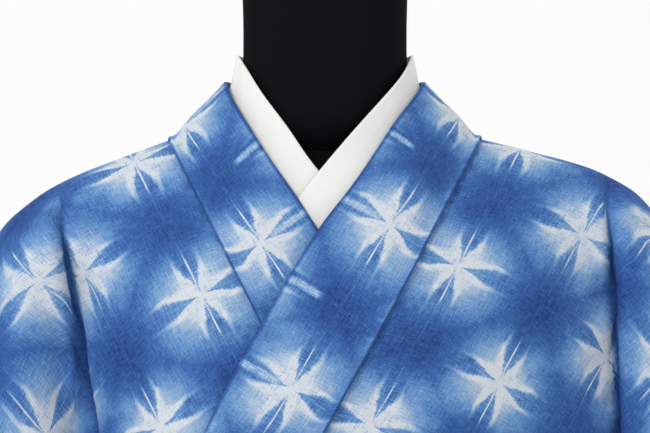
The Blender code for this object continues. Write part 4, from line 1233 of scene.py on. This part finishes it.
def levelled(points, along, ridge):
    """Lengths along a body panel with the print made level on the back, and on the
    front where the belt hides the change."""
    heights = points[:, :, 2]
    length = np.abs(along)
    signs = np.where(np.arange(len(points)) < ridge, -1.0, 1.0)[:, None]
    reached = length + heights
    columns = points.shape[1]
    level = np.where(signs < 0, reached[:, columns // 2, None], reached[:, columns // 3, None])
    level = level - heights
    share = np.where(signs < 0, smooth(*LEVEL_FRONT, heights), smooth(*LEVEL_BACK, length))
    return signs * (length + (level - length) * share)


# Cloth hidden in the deep fold beside each sleeve, as a step of the print behind it
Hidden = namedtuple("Hidden", "across along")
HIDDEN = {"left": Hidden(0.029, 0.023), "right": Hidden(-0.029, -0.010)}
FOLD_STEP = 0.004
FOLD_START = 0.05
FOLD_HEIGHTS = (1.06, 1.12)


def behind_fold(points, along, fold, ridge):
    """1 on the sleeve's side of the front's deep fold and 0 elsewhere."""
    line = np.array(fold.line)[::-1]
    edge = np.interp(points[:, :, 2], line[:, 1], np.abs(line[:, 0]))
    past = smooth(-FOLD_STEP / 2, FOLD_STEP / 2, np.abs(points[:, :, 0]) - edge)
    past *= smooth(0.0, FOLD_START, np.abs(along)) * smooth(*FOLD_HEIGHTS, points[:, :, 2])
    past[ridge:] = 0.0
    return past


def dress_body(side, front, back, material):
    rough = as_array(front[::-1] + back[1:])
    along = lengths_along(rough, 0)
    along = along - along[len(front) - 1]
    points, across, along = finer(rough, lengths_along(rough, 1), along, BODY_STEPS)
    flip = side == "right"
    normals = fine_normals(points) * (-1.0 if flip else 1.0)
    own = [crease for crease in CREASES if crease.line[0][0] * SIDES[side] > 0]
    across = softened(across, ACROSS_ROUNDS)
    ridge = (len(front) - 1) * BODY_STEPS[0]
    past = behind_fold(points, along, own[0], ridge)
    across = across + HIDDEN[side].across * past
    along = levelled(points, softened(along, ALONG_ROUNDS, 1), ridge) + HIDDEN[side].along * past
    points, painted_shade = creased(points, normals, own)
    name = "body_" + side
    dress(name, points, printed(name, across, along, painted_shade), material, WALLS,
          0.656, flip=flip)


def dress_overlap(side, rows, material):
    rough = as_array(rows)
    points, across, along = finer(rough, lengths_along(rough, 1), lengths_along(rough, 0),
                                  OVERLAP_STEPS)
    name = "overlap_" + side
    dress(name, points, printed(name, across, along), material, WALLS,
          0.122, flip=side == "left")


# Painted shadow along the collar's two long edges, standing in for the shade where they lie on the
# cloth below: how dark it is, where 1 is a valley's floor
EDGE_PAINTED_SHADOW = 0.75


def dress_collars(bodies, overlaps, dyed, white):
    """The long collar band and the white collar inside it."""
    collar, inner = collar_grids(bodies, overlaps)
    rough = as_array(collar)
    reach = softened(rough[:, 0] - rough[:, 1], LAP_ROUNDS)
    reach *= COLLAR_LAP / np.linalg.norm(reach, axis=1, keepdims=True)
    rough[:, 0] = rough[:, 1] + reach
    middle = lengths_along(rough, 0)[:, 3:4]
    middle = middle - middle[len(collar) // 2]
    along = np.repeat(middle, rough.shape[1], 1)
    points, across, along = finer(rough, lengths_along(rough, 1), along, COLLAR_STEPS)
    points = softened(points, COLLAR_ROUNDS)
    # Painted shadow on the collar's first and last columns
    painted_edge_shadow = np.zeros_like(across)
    painted_edge_shadow[:, [0, -1]] = EDGE_PAINTED_SHADOW
    places = printed("collar_left", across, -along, painted_edge_shadow)
    other = printed("collar_right", across, along, painted_edge_shadow)
    half = len(points) // 2
    places[half:] = other[half:]
    dress("collar", points, places, dyed, (BAND / 2, -BAND / 2),
          0.136)
    rough = as_array(inner)
    points, across, along = finer(rough, lengths_along(rough, 1), lengths_along(rough, 0),
                                  COLLAR_STEPS)
    points = softened(points, COLLAR_ROUNDS)
    dress("under_collar", points, cloth_places(across, along), white, (WALL / 2, -WALL / 2),
          0.038)


# The way that the top fold of a hanging sleeve runs, outwards and up
FOLD_WAY = (0.228, -0.974)


def dress_sleeve(side, body, material):
    rough = as_array(sleeve_grid(side, body))
    points = finer(rough, lengths_along(rough, 1), lengths_along(rough, 0), SLEEVE_STEPS)[0]
    way = np.array((FOLD_WAY[0] * SIDES[side], 0.0, FOLD_WAY[1]))
    across = (points - points[:1, :1]) @ way
    steps = np.diff(points, axis=0)
    steps = np.sqrt(np.maximum((steps ** 2).sum(2) - (steps @ way) ** 2, 0.0))
    along = np.concatenate((np.zeros((1, points.shape[1])), np.cumsum(steps, 0)))
    along = along - along[len(points) // 2]
    name = "sleeve_" + side
    dress(name, points, printed(name, across, along), material, WALLS,
          0.131, flip=side == "right")


def dress_belt(material):
    """The belt, its bow and the band round the bow's middle."""
    for name, grid, steps, turn, flat in (
            ("obi", obi_grid(), (6, 4), 0, (0.155, 1.00)),
            ("obi_bow", bow_grid(), (8, 4), BOW_COLUMNS // 4, (0.15, 0.62)),
            ("obi_knot", knot_grid(), (6, 6), KNOT_COLUMNS // 2, (0.06, 0.30))):
        rough = np.roll(as_array(grid), turn, 1)
        lengths = lengths_along(rough, 1), lengths_along(rough, 0)
        points, around, up = finer(rough, *lengths, steps, closed=True)
        half = (OBI_WALL if name == "obi" else BOW_WALL) / 2
        places = cloth_places(*((up, around) if name == "obi_knot" else (around, up)))
        dress(name, points, places, material, (half, -half),
              flat[0] * flat[1], closed=True)


def turned(name, rings, material, replaced):
    """Closed solid through rings of points, with flat ends."""
    columns = len(rings[0])
    faces = [(i * columns + j, i * columns + (j + 1) % columns,
              (i + 1) * columns + (j + 1) % columns, (i + 1) * columns + j)
             for i in range(len(rings) - 1) for j in range(columns)]
    faces.append(tuple(range(columns))[::-1])
    faces.append(tuple(range((len(rings) - 1) * columns, len(rings) * columns)))
    mesh = bpy.data.meshes.new(name)
    mesh.from_pydata(np.concatenate(rings).tolist(), [], faces)
    piece = new_piece(name, mesh, material)
    mesh.set_sharp_from_angle(angle=math.radians(50))
    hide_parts(replaced)
    return piece


FORM_COLUMNS = 96
FORM_ROWS = 110
NECK_SEAM_Z = 1.3127
NECK_SEAM_DEPTH = 0.0005
NECK_SEAM_WIDTH = 0.0009


def dress_form(jersey, metal):
    """The form's torso with its neck seam, its neck cap, and the stand's look."""
    heights = list(np.linspace(TORSO[0].z, TORSO[-1].z, FORM_ROWS + 1))
    heights += [NECK_SEAM_Z + NECK_SEAM_WIDTH * i / 2 for i in range(-4, 5)]
    rings = []
    for z in sorted(heights):
        sizes = [read(TORSO, column, z) for column in ("half_width", "front", "back")]
        groove = NECK_SEAM_DEPTH * math.exp(-((z - NECK_SEAM_Z) / NECK_SEAM_WIDTH) ** 2)
        shrink = 1.0 - groove / sizes[0]
        rings.append(form_ring(*sizes, z, FORM_COLUMNS) * (shrink, shrink, 1.0))
    piece = turned("jersey_torso", rings, jersey, "form_torso")
    centre = (TORSO[-1].back - TORSO[-1].front) / 2
    profile = refine(np.array([[(*disc, 0.0)] for disc in NECK_CAP]), 4, 0)[:, 0]
    rings = [form_ring(radius, radius - centre, radius + centre, z, FORM_COLUMNS)
             for radius, z, _ in profile]
    piece = turned("jersey_neck_cap", rings, jersey, "form_neck_cap")
    for node in ("stand_pole", "stand_base"):
        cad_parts[node].data.materials.clear()
        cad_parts[node].data.materials.append(metal)


FLOOR_RADIUS = 9.0
CAMERA_REACH = 5.0
CHEST_Y = -0.10
AIM_Z = 1.2757
PHOTO_WIDTH = 650 * 0.000666
SENSOR = 36.0
# Place, what it is aimed at, size, strength in watts
Lamp = namedtuple("Lamp", "name place aim size power")
LAMPS = table(Lamp,
    ("key", (-1.6, -2.0, 2.9), (0.0, 0.0, 1.2), 1.2, 46.0), ("fill", (2.2, -2.2, 1.6),
    (0.0, 0.0, 1.1), 2.4, 8.0), ("back", (0.8, 2.6, 2.8), (0.0, 0.0, 1.1), 2.0, 24.0))
FLOOR = (0.86, 0.86, 0.86)
WORLD = (0.975, 0.975, 0.975)


def aimed(item, place, aim):
    item.location = place
    item.rotation_euler = (Vector(aim) - Vector(place)).to_track_quat("-Z", "Y").to_euler()
    bpy.context.scene.collection.objects.link(item)


def make_stage():
    floor_mesh = bpy.data.meshes.new("floor")
    ring = [(FLOOR_RADIUS * math.cos(math.radians(turn)),
             FLOOR_RADIUS * math.sin(math.radians(turn)), 0.0) for turn in range(0, 360, 5)]
    floor_mesh.from_pydata(ring, [], [tuple(range(len(ring)))])
    floor = bpy.data.objects.new("floor", floor_mesh)
    bpy.context.scene.collection.objects.link(floor)
    pale = bpy.data.materials.new("pale_floor")
    pale.use_nodes = True
    put(pale.node_tree.nodes["Principled BSDF"], {"Base Color": (*FLOOR, 1.0), "Roughness": 0.9})
    floor_mesh.materials.append(pale)
    world = bpy.data.worlds.new("studio")
    world.use_nodes = True
    put(world.node_tree.nodes["Background"], {"Color": (*WORLD, 1.0), "Strength": 1.0})
    bpy.context.scene.world = world
    for lamp in LAMPS:
        light = bpy.data.lights.new(lamp.name, "AREA")
        light.shape = "DISK"
        light.size = lamp.size
        light.energy = lamp.power
        aimed(bpy.data.objects.new(lamp.name, light), lamp.place, lamp.aim)
    camera = bpy.data.cameras.new("camera")
    camera.sensor_width = SENSOR
    camera.lens = SENSOR * CAMERA_REACH / PHOTO_WIDTH
    camera.clip_end = 100.0
    holder = bpy.data.objects.new("camera", camera)
    aimed(holder, (0.0, CHEST_Y - CAMERA_REACH, AIM_Z), (0.0, 0.0, AIM_Z))
    bpy.context.scene.camera = holder
    bpy.context.scene.view_settings.view_transform = "Standard"


def main():
    dyed = indigo_cotton("indigo_cotton")
    barred = indigo_cotton("indigo_collar", bars=True)
    bodies = make_bodies()
    overlaps = make_overlaps(bodies)
    for side in SIDES:
        dress_body(side, *bodies[side][:2], dyed)
        dress_overlap(side, overlaps[side][0], dyed)
        dress_sleeve(side, bodies[side], dyed)
    dress_collars(bodies, overlaps, barred, white_cotton())
    dress_belt(sash_cloth())
    dress_form(form_jersey(), coated_metal())
    make_stage()


main()
